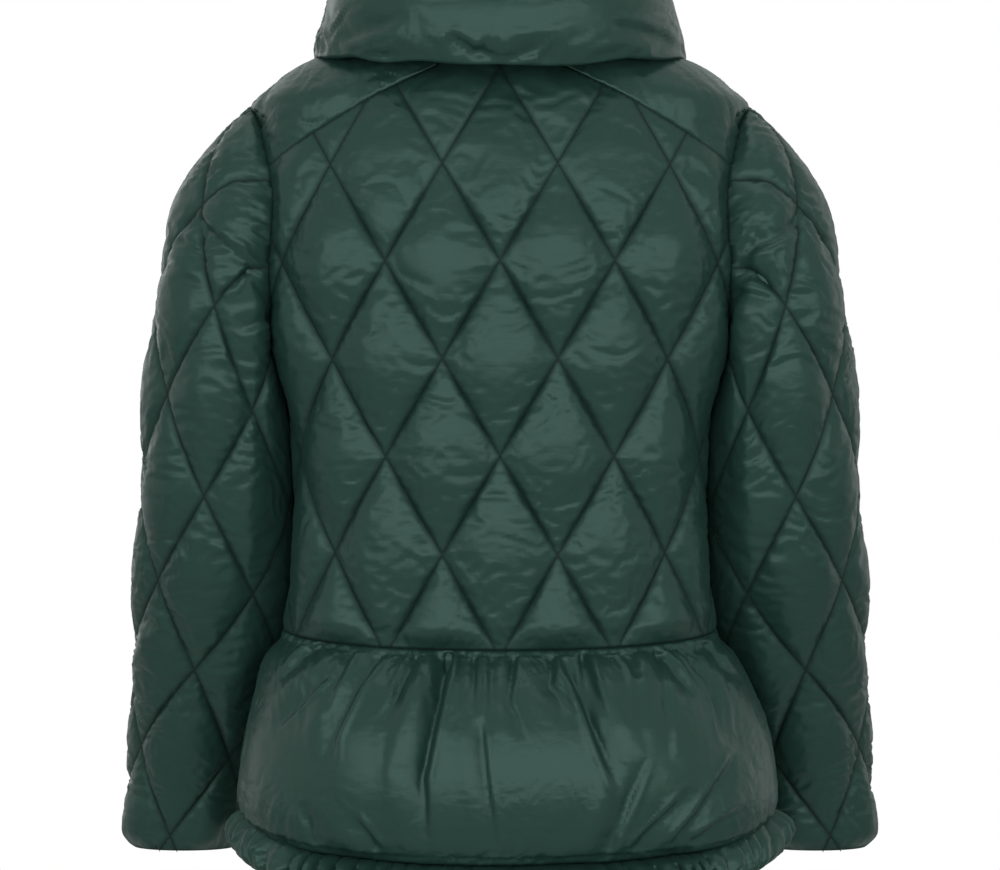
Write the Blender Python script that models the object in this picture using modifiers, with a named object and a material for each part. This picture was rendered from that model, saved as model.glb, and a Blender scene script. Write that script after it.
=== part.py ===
# Quilted down jacket with a gathered peplum, filled out as if worn.
# Metres, +Z up. The front faces -Y and the wearer's left is +X. The origin is
# the centre of the neck opening, level with the points where shoulder meets neck.
#
# Quilted panels are cut flat: an outline and its quilting lines are triangulated
# in the cloth's own plane, then laid on a form worked out from section tables.

import math
import bpy
import bmesh
import numpy as np
from mathutils import Vector
from mathutils.geometry import delaunay_2d_cdt

MM = 0.001

# ---- driving dimensions (metres) -------------------------------------------
SEAM_GAP = 0.3 * MM          # free space between neighbouring pieces
SIDE_GAP = 0.4 * MM          # the same along the side seams, on one side
SEAM_WALL = 2.4 * MM         # two shells sewn together, at seams and edges
BODY_PUFF = 13 * MM          # thickness of a filled diamond on the body
SLEEVE_PUFF = 11 * MM        # thickness of a filled diamond on a sleeve
BODY_EDGE = 28 * MM          # the filling thins out this near the body's seams
SLEEVE_EDGE = 42 * MM        # and this near a sleeve's
PRESSED_FILL = 0.15          # share of the filling where sleeve and body touch
PRESSED_HALF_WIDTH = 75 * MM    # the body is pressed this far from its side line
PRESSED_ABOVE = 60 * MM      # and up to this far over the armpit
YOKE_PUFF = 9 * MM           # thickness in the middle of a yoke
PEPLUM_PUFF = 15 * MM        # thickness in the middle of the peplum
COLLAR_PUFF = 17 * MM        # thickness in the middle of the collar's leaves

DIAMOND_WIDTH = 92 * MM      # body quilting, corner to corner across
DIAMOND_HEIGHT = 156 * MM    # body quilting, corner to corner down
QUILT_START = -35 * MM       # height of the first row of diamond corners
SLEEVE_DIAMOND_WIDTH = 82 * MM
SLEEVE_DIAMOND_HEIGHT = 157 * MM
SLEEVE_QUILT_START = -46 * MM   # a row of corners, down from the biceps section
QUILT_STEPS = 2              # mesh steps in a quarter diamond
SNAP = 7 * MM                # a quilting line ends on an edge point this near

WAIST_Z = -498 * MM          # seam between body and peplum
HEM_Z = -658 * MM            # seam between peplum and ruffle
RUFFLE_DROP = 30 * MM        # height of the ruffle
SHOULDER_TIP_Z = -60 * MM    # top of the armhole
UNDERARM_Z = -280 * MM       # bottom of the armhole
ARMHOLE_HALF_DEPTH = 62 * MM
NECK_HALF_WIDTH = 82 * MM
NECK_BACK_Z = -12 * MM       # neck seam at the centre back
NECK_FRONT_Z = -62 * MM      # neck seam at the centre front
ZIP_HALF_WIDTH = 9 * MM      # from the centre front to the edge of each front

# body sections in millimetres: height, half width, depth behind and before the
# side line, and how square the section is
BODY_SECTIONS = [
    # z, half_width, back, front, square
    (0, 82, 58, 52, 2.0),
    (-10, 100, 63, 58, 2.0),
    (-20, 126, 70, 65, 2.0),
    (-29, 148, 76, 78, 2.05),
    (-47, 184, 86, 93, 2.1),
    (-60, 204, 92, 100, 2.15),
    (-82, 199, 100, 106, 2.3),
    (-110, 199, 107, 111, 2.4),
    (-180, 205, 117, 120, 2.4),
    (-230, 194, 118, 124, 2.4),
    (-255, 187, 117, 124, 2.4),
    (-280, 179, 116, 124, 2.4),
    (-305, 172, 114, 123, 2.4),
    (-335, 168, 112, 121, 2.4),
    (-400, 166, 108, 117, 2.35),
    (-450, 169, 105, 114, 2.3),
    (-498, 176, 105, 113, 2.25),
]

# peplum sections, as above, from the waist seam to the hem seam
PEPLUM_SECTIONS = [
    # z, half_width, back, front, square
    (-498, 176, 105, 113, 2.25),
    (-504, 176, 105, 113, 2.25),
    (-520, 189, 117, 123, 2.2),
    (-545, 200, 131, 135, 2.2),
    (-580, 209, 143, 145, 2.2),
    (-615, 211, 148, 149, 2.2),
    (-636, 208, 146, 147, 2.2),
    (-651, 201, 141, 142, 2.2),
    (-658, 200.5, 140.5, 141.5, 2.2),
]

# left sleeve sections in millimetres: the outer and inner ends of each ring,
# half its depth, and how far its centre lies behind (+) the side line
SLEEVE_SECTIONS = [
    # outer_x, outer_z, inner_x, inner_z, half_depth, centre_y
    (205.0, -60.0, 187.5, -281.5, 61, 0),
    (224, -80, 187.0, -284, 67, 0),
    (241, -104, 186.5, -288, 71, 0),
    (262, -150, 186, -296, 73, -1),
    (276, -208, 185, -311, 72, -3),
    (284, -276, 184, -334, 69, -8),
    (290, -345, 184, -366, 66, -15),
    (294, -420, 185, -426, 62, -29),
    (298, -490, 194, -490, 57, -54),
    (301, -560, 213, -560, 51, -84),
    (304, -620, 225, -620, 46, -104),
    (302, -655, 233, -655, 41, -112),
    (295, -672, 240, -672, 36, -114),
]
BICEPS_RING = 6              # the sleeve's cap is cut above this section

# collar sections in millimetres, outwards from the neck seam and up from it:
# up the stand, over the fold and down the fall, at the back, side and front
COLLAR_STEPS = 10
COLLAR_COLUMNS = 26
COLLAR_LIFT = 5 * MM         # the stand starts above the walls of the yokes
COLLAR_BACK = [(0, 0.8), (4, 12), (10, 30), (17, 46), (27, 57), (40, 58), (50, 49),
               (57, 33), (60, 14), (59, -6), (55, -24)]
COLLAR_SIDE = [(0, 0.8), (3, 12), (8, 28), (14, 42), (23, 50), (34, 51), (44, 43),
               (52, 29), (58, 14), (62, -2), (65, -15)]
COLLAR_FRONT = [(0, 0.8), (3, 14), (7, 34), (12, 54), (19, 68), (29, 70), (37, 60),
                (42, 42), (44, 22), (43, 4), (40, -8)]
COLLAR_FILL = [0.0, 0.3, 0.5, 0.6, 0.75, 0.85, 0.95, 1.0, 1.0, 0.8, 0.3]

# peplum gathers: place at the waist seam as a share of the half girth from the
# centre back, drift at the hem in the same share, length as a share of the
# drop, depth in millimetres and half width in millimetres
GATHERS_BACK_LEFT = [
    # place, drift, length, depth, half_width
    (0.085, 0.015, 1.00, 11, 9),
    (0.150, 0.060, 0.50, 5, 8),
    (0.265, 0.110, 0.60, 6, 9),
    (0.420, 0.060, 0.55, 5, 9),
]
GATHERS_BACK_RIGHT = [
    (-0.028, 0.010, 0.50, 5, 7),
    (-0.110, -0.085, 0.90, 10, 9),
    (-0.150, -0.070, 0.50, 6, 8),
    (-0.300, -0.090, 0.65, 6, 9),
    (-0.355, -0.120, 0.60, 6, 9),
]
GATHERS_FRONT = [
    (0.560, 0.030, 0.45, 5, 9),
    (0.625, -0.020, 0.60, 6, 9),
    (0.700, 0.040, 0.95, 10, 9),
    (0.830, 0.020, 0.55, 6, 9),
    (0.900, -0.030, 0.80, 8, 9),
]

SHELL_COLOUR = (0.030, 0.062, 0.052, 1.0)


# ---- reading the section tables ---------------------------------------------
def smooth_column(table, column, at):
    """Monotone cubic through one column of a table, at a value of its first."""
    xs = np.array([row[0] for row in table], dtype=float)
    ys = np.array([row[column] for row in table], dtype=float)
    if xs[0] > xs[-1]:
        xs, ys = xs[::-1], ys[::-1]
    gaps = np.diff(xs)
    slopes = np.diff(ys) / gaps
    ends = np.empty(len(xs))
    ends[0], ends[-1] = slopes[0], slopes[-1]
    for k in range(1, len(xs) - 1):
        left, right = slopes[k - 1], slopes[k]
        ends[k] = 0.0 if left * right <= 0 else 2 * left * right / (left + right)
    at = min(max(at, xs[0]), xs[-1])
    k = min(int(np.searchsorted(xs, at, side="right")) - 1, len(xs) - 2)
    t = (at - xs[k]) / gaps[k]
    return float((1 + 2 * t) * (1 - t) ** 2 * ys[k] + t * (1 - t) ** 2 * gaps[k] * ends[k]
                 + t * t * (3 - 2 * t) * ys[k + 1] - t * t * (1 - t) * gaps[k] * ends[k + 1])


ring_cache = {}


def ring(table, z):
    """Half a section from centre back to centre front: x, y and arc length."""
    key = (id(table), round(z * 1e6))
    if key not in ring_cache:
        level = z / MM
        width, back, front, square = (smooth_column(table, c, level) for c in (1, 2, 3, 4))
        turn = np.linspace(0.0, math.pi, 361)
        sine, cosine = np.sin(turn), np.cos(turn)
        x = width * MM * np.abs(sine) ** (2 / square)
        depth = np.where(cosine >= 0, back, front) * MM
        y = depth * np.sign(cosine) * np.abs(cosine) ** (2 / square)
        x[0] = x[-1] = 0.0
        steps = np.hypot(np.diff(x), np.diff(y))
        ring_cache[key] = (x, y, np.concatenate(([0.0], np.cumsum(steps))))
    return ring_cache[key]


def on_ring(table, arc, z):
    """Point of the form at an arc length from the centre back, +X side positive."""
    x, y, s = ring(table, z)
    side = 1.0 if arc >= 0 else -1.0
    return Vector((side * float(np.interp(abs(arc), s, x)), float(np.interp(abs(arc), s, y)), z))


def half_girth(table, z):
    return float(ring(table, z)[2][-1])


def side_arc(z, table=BODY_SECTIONS):
    """Arc length from the centre back to the side seam."""
    x, y, s = ring(table, z)
    return float(np.interp(0.0, -y, s))


def arc_at_x(x_wanted, z, behind=True, table=BODY_SECTIONS):
    """Arc length of the point at x on the back or the front of a section."""
    x, y, s = ring(table, z)
    half = int(np.argmax(x))
    if behind:
        return float(np.interp(x_wanted, x[:half + 1], s[:half + 1]))
    return float(np.interp(x_wanted, x[half:][::-1], s[half:][::-1]))


def arc_at_y(y_wanted, z, table=BODY_SECTIONS):
    x, y, s = ring(table, z)
    return float(np.interp(-y_wanted, -y, s))


# ---- seam lines --------------------------------------------------------------
def armhole_half_depth(z):
    share = (z - SHOULDER_TIP_Z) / (UNDERARM_Z - SHOULDER_TIP_Z)
    share = min(max(share, 0.0), 1.0)
    return ARMHOLE_HALF_DEPTH * math.sin(math.pi * share) ** 0.7


def neck_z(x, behind):
    lowest = NECK_BACK_Z if behind else NECK_FRONT_Z
    share = min(abs(x) / NECK_HALF_WIDTH, 1.0)
    return lowest * (1 - share ** 2.2) ** (1.0 if behind else 0.75)


# yoke seams from the neck to the armhole: half width and height in millimetres
YOKE_SEAM_BACK = [(42, -8.6), (50, -32), (99, -56), (153, -88), (191.5, -112)]
YOKE_SEAM_FRONT = [(60, -38), (99, -56), (153, -90), (191.5, -118)]


YOKE_COLUMNS = [0, 0.0535, 0.2174, 0.3813, 0.5619, 0.7425, 0.8712, 1]   # neck to armhole
YOKE_ROWS = 8


def yoke_seam_points(behind):
    """Points of a yoke seam, x and z, where the yoke's mesh columns end."""
    table = YOKE_SEAM_BACK if behind else YOKE_SEAM_FRONT
    near, far = table[0][0] * MM, table[-1][0] * MM
    xs = [near + (far - near) * share for share in YOKE_COLUMNS]
    return [(x, yoke_seam_z(x, behind)) for x in xs]


def yoke_seam_z(x, behind):
    table = YOKE_SEAM_BACK if behind else YOKE_SEAM_FRONT
    return float(np.interp(x / MM, [p[0] for p in table], [p[1] for p in table])) * MM


# ---- cutting flat panels -----------------------------------------------------
def inside(outline, point):
    """Even-odd test of a flat point."""
    px, py = point
    found = False
    for (ax, ay), (bx, by) in zip(outline, outline[1:] + outline[:1]):
        if (ay > py) != (by > py) and px < ax + (py - ay) * (bx - ax) / (by - ay):
            found = not found
    return found


def edge_distance(outline, point):
    """Distance from a flat point to the nearest edge of the outline."""
    a = np.array(outline)
    b = np.roll(a, -1, axis=0)
    along = b - a
    t = ((np.array(point) - a) * along).sum(1) / np.maximum((along ** 2).sum(1), 1e-12)
    near = a + along * np.clip(t, 0, 1)[:, None]
    return float(np.hypot(*(near - np.array(point)).T).min())


def quilt_lines(width, height, start, reach):
    """The slanting quilting lines of a diamond lattice, as pairs of flat points."""
    lines = []
    slope = height / width
    for k in range(-30, 31):
        for lean in (slope, -slope):
            middle = start + k * height
            lines.append(((-reach, middle - lean * reach), (reach, middle + lean * reach)))
    return lines


def clip_line(outline, line):
    """The stretches of a straight line that lie inside an outline."""
    (ax, ay), (bx, by) = line
    cuts = []
    for (cx, cy), (dx, dy) in zip(outline, outline[1:] + outline[:1]):
        det = (bx - ax) * (dy - cy) - (by - ay) * (dx - cx)
        if abs(det) < 1e-15:
            continue
        t = ((cx - ax) * (dy - cy) - (cy - ay) * (dx - cx)) / det
        u = ((cx - ax) * (by - ay) - (cy - ay) * (bx - ax)) / det
        if -1e-9 <= u <= 1 + 1e-9:
            cuts.append(t)
    cuts = sorted(cuts)
    kept = []
    for t0, t1 in zip(cuts, cuts[1:]):
        if t1 - t0 < 1e-6:
            continue
        middle = (t0 + t1) / 2
        if inside(outline, (ax + (bx - ax) * middle, ay + (by - ay) * middle)):
            kept.append(((ax + (bx - ax) * t0, ay + (by - ay) * t0),
                         (ax + (bx - ax) * t1, ay + (by - ay) * t1)))
    return kept


def quilt_fill(point, width, height, start):
    """How full a quilted cloth is at a point: 0 on a line, 1 in a diamond."""
    across, down = point[0] / width, (point[1] - start) / height
    lift = abs(math.sin(math.pi * (across - down)) * math.sin(math.pi * (across + down)))
    return lift ** 0.55


def counter_clockwise(outline):
    area = sum(ax * by - bx * ay for (ax, ay), (bx, by) in zip(outline, outline[1:] + outline[:1]))
    return list(outline) if area > 0 else list(reversed(outline))


def cut_panel(outline, width, height, start):
    """Triangles of a flat quilted panel: points and faces."""
    outline = counter_clockwise(outline)
    verts = [Vector((x / MM, y / MM)) for x, y in outline]
    border = list(range(len(verts)))
    step_x, step_y = width / 2 / QUILT_STEPS, height / 2 / QUILT_STEPS
    reach = max(abs(point[0]) for point in outline) + max(abs(point[1]) for point in outline)
    count_x, count_y = int(reach / step_x) + 1, int(reach / step_y) + 1
    grid = {}
    for i in range(-count_x, count_x + 1):
        for j in range(-count_y, count_y + 1):
            point = (i * step_x, start + j * step_y)
            if inside(outline, point) and edge_distance(outline, point) > 0.42 * step_x:
                grid[i, j] = len(verts)
                verts.append(Vector((point[0] / MM, point[1] / MM)))

    def line_end(point):
        spot = Vector((point[0] / MM, point[1] / MM))
        nearest = min(border, key=lambda k: (verts[k] - spot).length)
        if (verts[nearest] - spot).length < SNAP / MM:
            return nearest
        verts.append(spot)
        return len(verts) - 1

    edges = []
    for line in quilt_lines(width, height, start, reach):
        for (ax, ay), (bx, by) in clip_line(outline, line):
            chain = [line_end((ax, ay))]
            for i in range(math.ceil(ax / step_x), math.floor(bx / step_x) + 1):
                y = ay + (by - ay) * (i * step_x - ax) / (bx - ax)
                key = (i, round((y - start) / step_y))
                if key in grid:
                    chain.append(grid[key])
            chain.append(line_end((bx, by)))
            edges += [pair for pair in zip(chain, chain[1:]) if pair[0] != pair[1]]
    result = delaunay_2d_cdt(verts, edges, [border], 0, 0.02)
    points, faces, owners = result[0], result[2], result[5]
    kept = [face for face, owner in zip(faces, owners) if owner]
    used = sorted({index for face in kept for index in face})
    renumber = {index: k for k, index in enumerate(used)}
    flat = [(points[index][0] * MM, points[index][1] * MM) for index in used]
    return flat, [[renumber[index] for index in face] for face in kept]


# ---- objects -----------------------------------------------------------------
def clear_scene():
    for thing in list(bpy.data.objects):
        bpy.data.objects.remove(thing, do_unlink=True)


def make_collection(name):
    group = bpy.data.collections.new(name)
    bpy.context.scene.collection.children.link(group)
    return group


def make_material(name, colour, roughness, metallic=0.0):
    material = bpy.data.materials.new(name)
    material.use_nodes = True
    shader = material.node_tree.nodes["Principled BSDF"]
    shader.inputs["Base Color"].default_value = colour
    shader.inputs["Roughness"].default_value = roughness
    shader.inputs["Metallic"].default_value = metallic
    return material


def make_object(group, name, points, faces, material, smooth=True):
    mesh = bpy.data.meshes.new(name)
    mesh.from_pydata([tuple(point) for point in points], [], faces)
    bm = bmesh.new()
    bm.from_mesh(mesh)
    bmesh.ops.remove_doubles(bm, verts=bm.verts, dist=0.02 * MM)
    bm.to_mesh(mesh)
    bm.free()
    mesh.materials.append(material)
    if smooth:
        mesh.shade_smooth()
    thing = bpy.data.objects.new(name, mesh)
    group.objects.link(thing)
    return thing


def give_wall(thing, fills, puff, wall=SEAM_WALL, offset=1.0):
    """Solidify an open sheet: wall at its seams, puff where it is full."""
    fullness = thing.vertex_groups.new(name="fullness")
    for index, fill in enumerate(fills):
        fullness.add([index], min(max(fill, 0.0), 1.0), "REPLACE")
    solidify = thing.modifiers.new("wall", "SOLIDIFY")
    solidify.thickness = puff
    solidify.offset = offset
    solidify.use_even_offset = False
    solidify.vertex_group = "fullness"
    solidify.thickness_vertex_group = wall / puff
    return solidify


def face_outwards(faces, points, away):
    """Turn a sheet over, where most of its faces look against what away gives."""
    total = 0.0
    for face in faces:
        a, b, c = (points[face[k]] for k in (0, 1, 2))
        total += (b - a).cross(c - a).dot(away((a + b + c) / 3))
    return faces if total > 0 else [list(reversed(face)) for face in faces]


def smoothstep(value):
    value = min(max(value, 0.0), 1.0)
    return value * value * (3 - 2 * value)


def build_quilted(group, name, outline, lattice, place, away, puff, squash, edge_ease):
    """A quilted panel: cut flat, laid on the form, given its filled wall."""
    width, height, start = lattice
    flat, faces = cut_panel(outline, width, height, start)
    points = [place(*point) for point in flat]
    faces = face_outwards(faces, points, away)
    fills = []
    for point, spot in zip(flat, points):
        edge = smoothstep(edge_distance(outline, point) / edge_ease) ** 0.6
        fills.append(quilt_fill(point, width, height, start) * edge * squash(spot))
    colour = make_material(name, SHELL_COLOUR, 0.42)
    mesh_points = len(points)
    thing = make_object(group, name, points, faces, colour)
    if len(thing.data.vertices) != mesh_points:
        fills = match_fills(thing, points, fills)
    give_wall(thing, fills, puff)
    return thing


def match_fills(thing, points, fills):
    """Fullness of each point that is left after a seam is welded."""
    from_key = {}
    for point, fill in zip(points, fills):
        key = tuple(round(value / (0.1 * MM)) for value in point)
        from_key[key] = fill
    keys = np.array(list(from_key.keys()), dtype=float)
    values = list(from_key.values())
    matched = []
    for vertex in thing.data.vertices:
        spot = np.array(tuple(vertex.co)) / (0.1 * MM)
        matched.append(values[int(((keys - spot) ** 2).sum(1).argmin())])
    return matched


def body_away(point):
    return Vector((point.x, point.y, 0.25 * (point.z - UNDERARM_Z)))


# ---- the body ----------------------------------------------------------------
def spread(first, last, count):
    return [first + (last - first) * k / count for k in range(count + 1)]


def armhole_arc(z, behind):
    depth = armhole_half_depth(z) + SEAM_GAP
    return arc_at_y(depth if behind else -depth, z)


def back_outline():
    """Half outline of the back, from the centre neck to the centre waist."""
    gap = SEAM_GAP / 2
    half = [(0.0, NECK_BACK_Z)]
    for x in spread(0.0, YOKE_SEAM_BACK[0][0] * MM, 3)[1:]:
        z = neck_z(x, True)
        half.append((arc_at_x(x, z), z))
    for x, z in yoke_seam_points(True)[1:-1]:
        half.append((arc_at_x(x, z) - gap, z - gap))
    last_z = YOKE_SEAM_BACK[-1][1] * MM
    for z in spread(last_z - gap, UNDERARM_Z + 6 * MM, 7):
        half.append((armhole_arc(z, True), z))
    half.append((side_arc(UNDERARM_Z) - 2 * gap, UNDERARM_Z))
    for z in spread(UNDERARM_Z, WAIST_Z + gap, 8)[1:]:
        half.append((side_arc(z) - gap, z))
    half.append((0.0, WAIST_Z + gap))
    return half


def front_outline():
    """Outline of a front in arc lengths from the centre front, +X side."""
    def from_front(arc, z):
        return half_girth(BODY_SECTIONS, z) - arc

    gap = SEAM_GAP / 2
    points = []
    for z in spread(WAIST_Z + gap, UNDERARM_Z, 8):
        points.append((from_front(side_arc(z) + SIDE_GAP, z), z))
    low = UNDERARM_Z + 6 * MM
    points.append((from_front(arc_at_y(-4 * MM, low), low), UNDERARM_Z + 1 * MM))
    last_z = YOKE_SEAM_FRONT[-1][1] * MM
    for z in spread(low, last_z - gap, 7):
        points.append((from_front(armhole_arc(z, False), z), z))
    for x, z in yoke_seam_points(False)[-2::-1]:
        points.append((from_front(arc_at_x(x, z, False) + gap, z), z - gap))
    for x in spread(YOKE_SEAM_FRONT[0][0] * MM, ZIP_HALF_WIDTH, 4)[1:]:
        z = neck_z(x, False)
        points.append((from_front(arc_at_x(x, z, False), z), z))
    top = points[-1]
    for z in spread(top[1], WAIST_Z + gap, 14)[1:]:
        points.append((ZIP_HALF_WIDTH, z))
    return points


def front_place(arc, z):
    return on_ring(BODY_SECTIONS, math.copysign(half_girth(BODY_SECTIONS, z) - abs(arc), arc), z)


def under_sleeve(point):
    """Squashed thin where the sleeve hangs against the body."""
    if point.z > UNDERARM_Z + PRESSED_ABOVE:
        return 1.0
    return PRESSED_FILL + (1 - PRESSED_FILL) * smoothstep(abs(point.y) / PRESSED_HALF_WIDTH)


def build_body(group):
    lattice = (DIAMOND_WIDTH, DIAMOND_HEIGHT, QUILT_START)
    half = back_outline()
    outline = half + [(-s, z) for s, z in half[-2:0:-1]]
    build_quilted(group, "back", outline, lattice, lambda s, z: on_ring(BODY_SECTIONS, s, z),
                  body_away, BODY_PUFF, under_sleeve, BODY_EDGE)
    front = front_outline()
    for name, side in (("front_left", 1.0), ("front_right", -1.0)):
        build_quilted(group, name, [(side * s, z) for s, z in front], lattice,
                      front_place, body_away, BODY_PUFF, under_sleeve, BODY_EDGE)


def yoke_point(x, share, side):
    """Point of a yoke: share -1 at the back seam, 0 on the shoulder, 1 in front."""
    behind = share < 0
    gap = SEAM_GAP / 2
    ridge_z = float(np.interp(x / MM, [row[1] for row in BODY_SECTIONS[:6]],
                              [row[0] for row in BODY_SECTIONS[:6]])) * MM
    seam_z = yoke_seam_z(x, behind) + gap
    if x / MM < (YOKE_SEAM_BACK if behind else YOKE_SEAM_FRONT)[0][0]:
        seam_z = neck_z(x, behind)
    z = seam_z + (ridge_z - seam_z) * math.cos(abs(share) * math.pi / 2)
    z = min(z, ridge_z - 0.01 * MM)
    width, back, front, square = (smooth_column(BODY_SECTIONS, c, z / MM) for c in (1, 2, 3, 4))
    depth = (back if behind else -front) * MM
    inner = max(1 - (x / (width * MM)) ** square, 0.0) ** (1 / square)
    return Vector((side * x, depth * inner, z))


def yoke_edge(x_share, share):
    """x of a yoke column: from the neck seam to the armhole seam, for this share."""
    behind = share < 0
    table = YOKE_SEAM_BACK if behind else YOKE_SEAM_FRONT
    bend = abs(share) ** 1.3
    near = NECK_HALF_WIDTH + (table[0][0] * MM - NECK_HALF_WIDTH) * bend
    tip = smooth_column(BODY_SECTIONS, 1, SHOULDER_TIP_Z / MM) * MM - SEAM_GAP
    far = tip + (table[-1][0] * MM - tip) * bend
    return near + (far - near) * x_share


def build_yokes(group):
    columns, rows = len(YOKE_COLUMNS) - 1, YOKE_ROWS
    for name, side in (("yoke_left", 1.0), ("yoke_right", -1.0)):
        points, fills = [], []
        for r in range(rows + 1):
            share = -1 + 2 * r / rows
            for c in range(columns + 1):
                x_share = YOKE_COLUMNS[c]
                points.append(yoke_point(yoke_edge(x_share, share), share, side))
                across = min(x_share, 1 - x_share) * 4
                along = (1 - abs(share)) * 2.2
                fills.append(smoothstep(across) ** 0.6 * smoothstep(along) ** 0.6)
        faces = []
        for r in range(rows):
            for c in range(columns):
                k = r * (columns + 1) + c
                faces.append([k, k + 1, k + columns + 2, k + columns + 1])
        faces = face_outwards(faces, points, lambda p: Vector((0, p.y * 0.3, 1)))
        thing = make_object(group, name, points, faces, make_material(name, SHELL_COLOUR, 0.42))
        give_wall(thing, fills, YOKE_PUFF)


# ---- sleeves -------------------------------------------------------------------
SLEEVE_ROWS = [(k,) + row for k, row in enumerate(SLEEVE_SECTIONS)]
ARM_GAP_TOP = 3.2 * MM       # clearance of the sleeve's top edge from the armhole
ARM_GAP_BOTTOM = 7.5 * MM    # the same in the armpit, where both walls meet
sleeve_cache = {}


def armhole_point(theta):
    """Armhole seam of the left side, theta 0 behind, 90 degrees at the shoulder."""
    share = (1 - math.sin(theta)) / 2
    z = SHOULDER_TIP_Z + (UNDERARM_Z - SHOULDER_TIP_Z) * share
    depth = armhole_half_depth(z)
    x, y, s = ring(BODY_SECTIONS, z)
    y_here = depth if math.cos(theta) >= 0 else -depth
    x_here = float(np.interp(-y_here, -y, x))
    clear = ARM_GAP_TOP + (ARM_GAP_BOTTOM - ARM_GAP_TOP) * share ** 3
    return Vector((x_here + clear, y_here, z))


def sleeve_ring(level):
    """Outer and inner ends, half depth and centre of a sleeve section."""
    if level not in sleeve_cache:
        values = [smooth_column(SLEEVE_ROWS, c, level) for c in range(1, 7)]
        sleeve_cache[level] = [value * MM for value in values]
    return sleeve_cache[level]


def sleeve_spot(theta, level):
    """Point of the left sleeve's form on a section, level 0 at the armhole."""
    outer_x, outer_z, inner_x, inner_z, depth, centre_y = sleeve_ring(max(level, 1.0))
    sine, cosine = math.sin(theta), math.cos(theta)
    spot = Vector(((outer_x + inner_x) / 2 + (outer_x - inner_x) / 2 * sine,
                   centre_y + depth * cosine,
                   (outer_z + inner_z) / 2 + (outer_z - inner_z) / 2 * sine))
    if level < 1.0:
        spot = armhole_point(theta).lerp(spot, level)
    return spot


def sleeve_line(theta, count=96):
    """Cloth length down the sleeve at one angle, 0 at the biceps section."""
    key = ("line", round(theta * 1e5))
    if key not in sleeve_cache:
        top = len(SLEEVE_SECTIONS) - 1
        levels = [top * k / count for k in range(count + 1)]
        spots = [sleeve_spot(theta, level) for level in levels]
        lengths = np.concatenate(([0.0], np.cumsum([(b - a).length for a, b in zip(spots, spots[1:])])))
        lengths -= np.interp(BICEPS_RING, levels, lengths)
        sleeve_cache[key] = (np.array(levels), lengths)
    return sleeve_cache[key]


def sleeve_girth(length):
    """Girth of the sleeve's form at a cloth length down its back."""
    levels, lengths = sleeve_line(0.0)
    level = max(float(np.interp(length, lengths, levels)), float(BICEPS_RING))
    key = ("girth", round(level, 3))
    if key not in sleeve_cache:
        around = [sleeve_spot(2 * math.pi * k / 48, level) for k in range(49)]
        sleeve_cache[key] = sum((b - a).length for a, b in zip(around, around[1:]))
    return sleeve_cache[key]


def sleeve_place(arc, length, side):
    theta = 2 * math.pi * arc / sleeve_girth(length)
    levels, lengths = sleeve_line(theta)
    spot = sleeve_spot(theta, float(np.interp(length, lengths, levels)))
    return Vector((side * spot.x, spot.y, spot.z))


def sleeve_outline(lattice):
    """The sleeve's cut: cap on top, cuff below, its seam under the arm."""
    width, height, start = lattice
    seam_lengths = sleeve_line(-math.pi / 2)[1]
    first, last = float(seam_lengths[0]), float(seam_lengths[-1])
    base = spread(first, last, 18)
    edges = []
    for turn in (-0.25, 0.75):
        edges.append([(turn * sleeve_girth(length), length) for length in base])
    crossings = []
    for edge in edges:
        for (ax, ay), (bx, by) in zip(edge, edge[1:]):
            for (px, py), (qx, qy) in quilt_lines(width, height, start, 1.0):
                det = (bx - ax) * (qy - py) - (by - ay) * (qx - px)
                t = ((px - ax) * (qy - py) - (py - ay) * (qx - px)) / det
                if 0 <= t <= 1:
                    crossings.append(ay + (by - ay) * t)
    lengths = [first, last]
    for length in sorted(crossings) + base:
        if min(abs(length - other) for other in lengths) > 0.8 * SNAP:
            lengths.append(length)
    lengths = sorted(lengths)

    left, right = ([(turn * sleeve_girth(length), length) for length in lengths]
                   for turn in (-0.25, 0.75))
    cap, cuff = [], []
    for turn in spread(-0.25, 0.75, 28)[1:-1]:
        theta = 2 * math.pi * turn
        levels, line = sleeve_line(theta)
        cap.append((turn * sleeve_girth(float(line[0])), float(line[0])))
        cuff.append((turn * sleeve_girth(float(line[-1])), float(line[-1])))
    return left[::-1] + cap + right + cuff[::-1]


def build_sleeves(group):
    lattice = (SLEEVE_DIAMOND_WIDTH, SLEEVE_DIAMOND_HEIGHT, SLEEVE_QUILT_START)
    outline = sleeve_outline(lattice)
    for name, side in (("sleeve_left", 1.0), ("sleeve_right", -1.0)):
        def away(point):
            level = float(np.interp(-point.z / MM, [(-a[1] - a[3]) / 2 for a in SLEEVE_SECTIONS],
                                    range(len(SLEEVE_SECTIONS))))
            outer_x, outer_z, inner_x, inner_z, depth, centre_y = sleeve_ring(round(level, 2))
            middle = Vector((side * (outer_x + inner_x) / 2, centre_y, (outer_z + inner_z) / 2))
            return Vector((point.x - middle.x, point.y - middle.y, 0.3 * (point.z - middle.z)))

        def squash(point):
            reach = away(point)
            inward = -side * reach.x / max(math.hypot(reach.x, reach.y), 1e-6)
            return 1.0 - (1 - PRESSED_FILL) * smoothstep((inward - 0.35) / 0.45)
        build_quilted(group, name, outline, lattice,
                      lambda arc, length: sleeve_place(arc, length, side), away,
                      SLEEVE_PUFF, squash, SLEEVE_EDGE)


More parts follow.
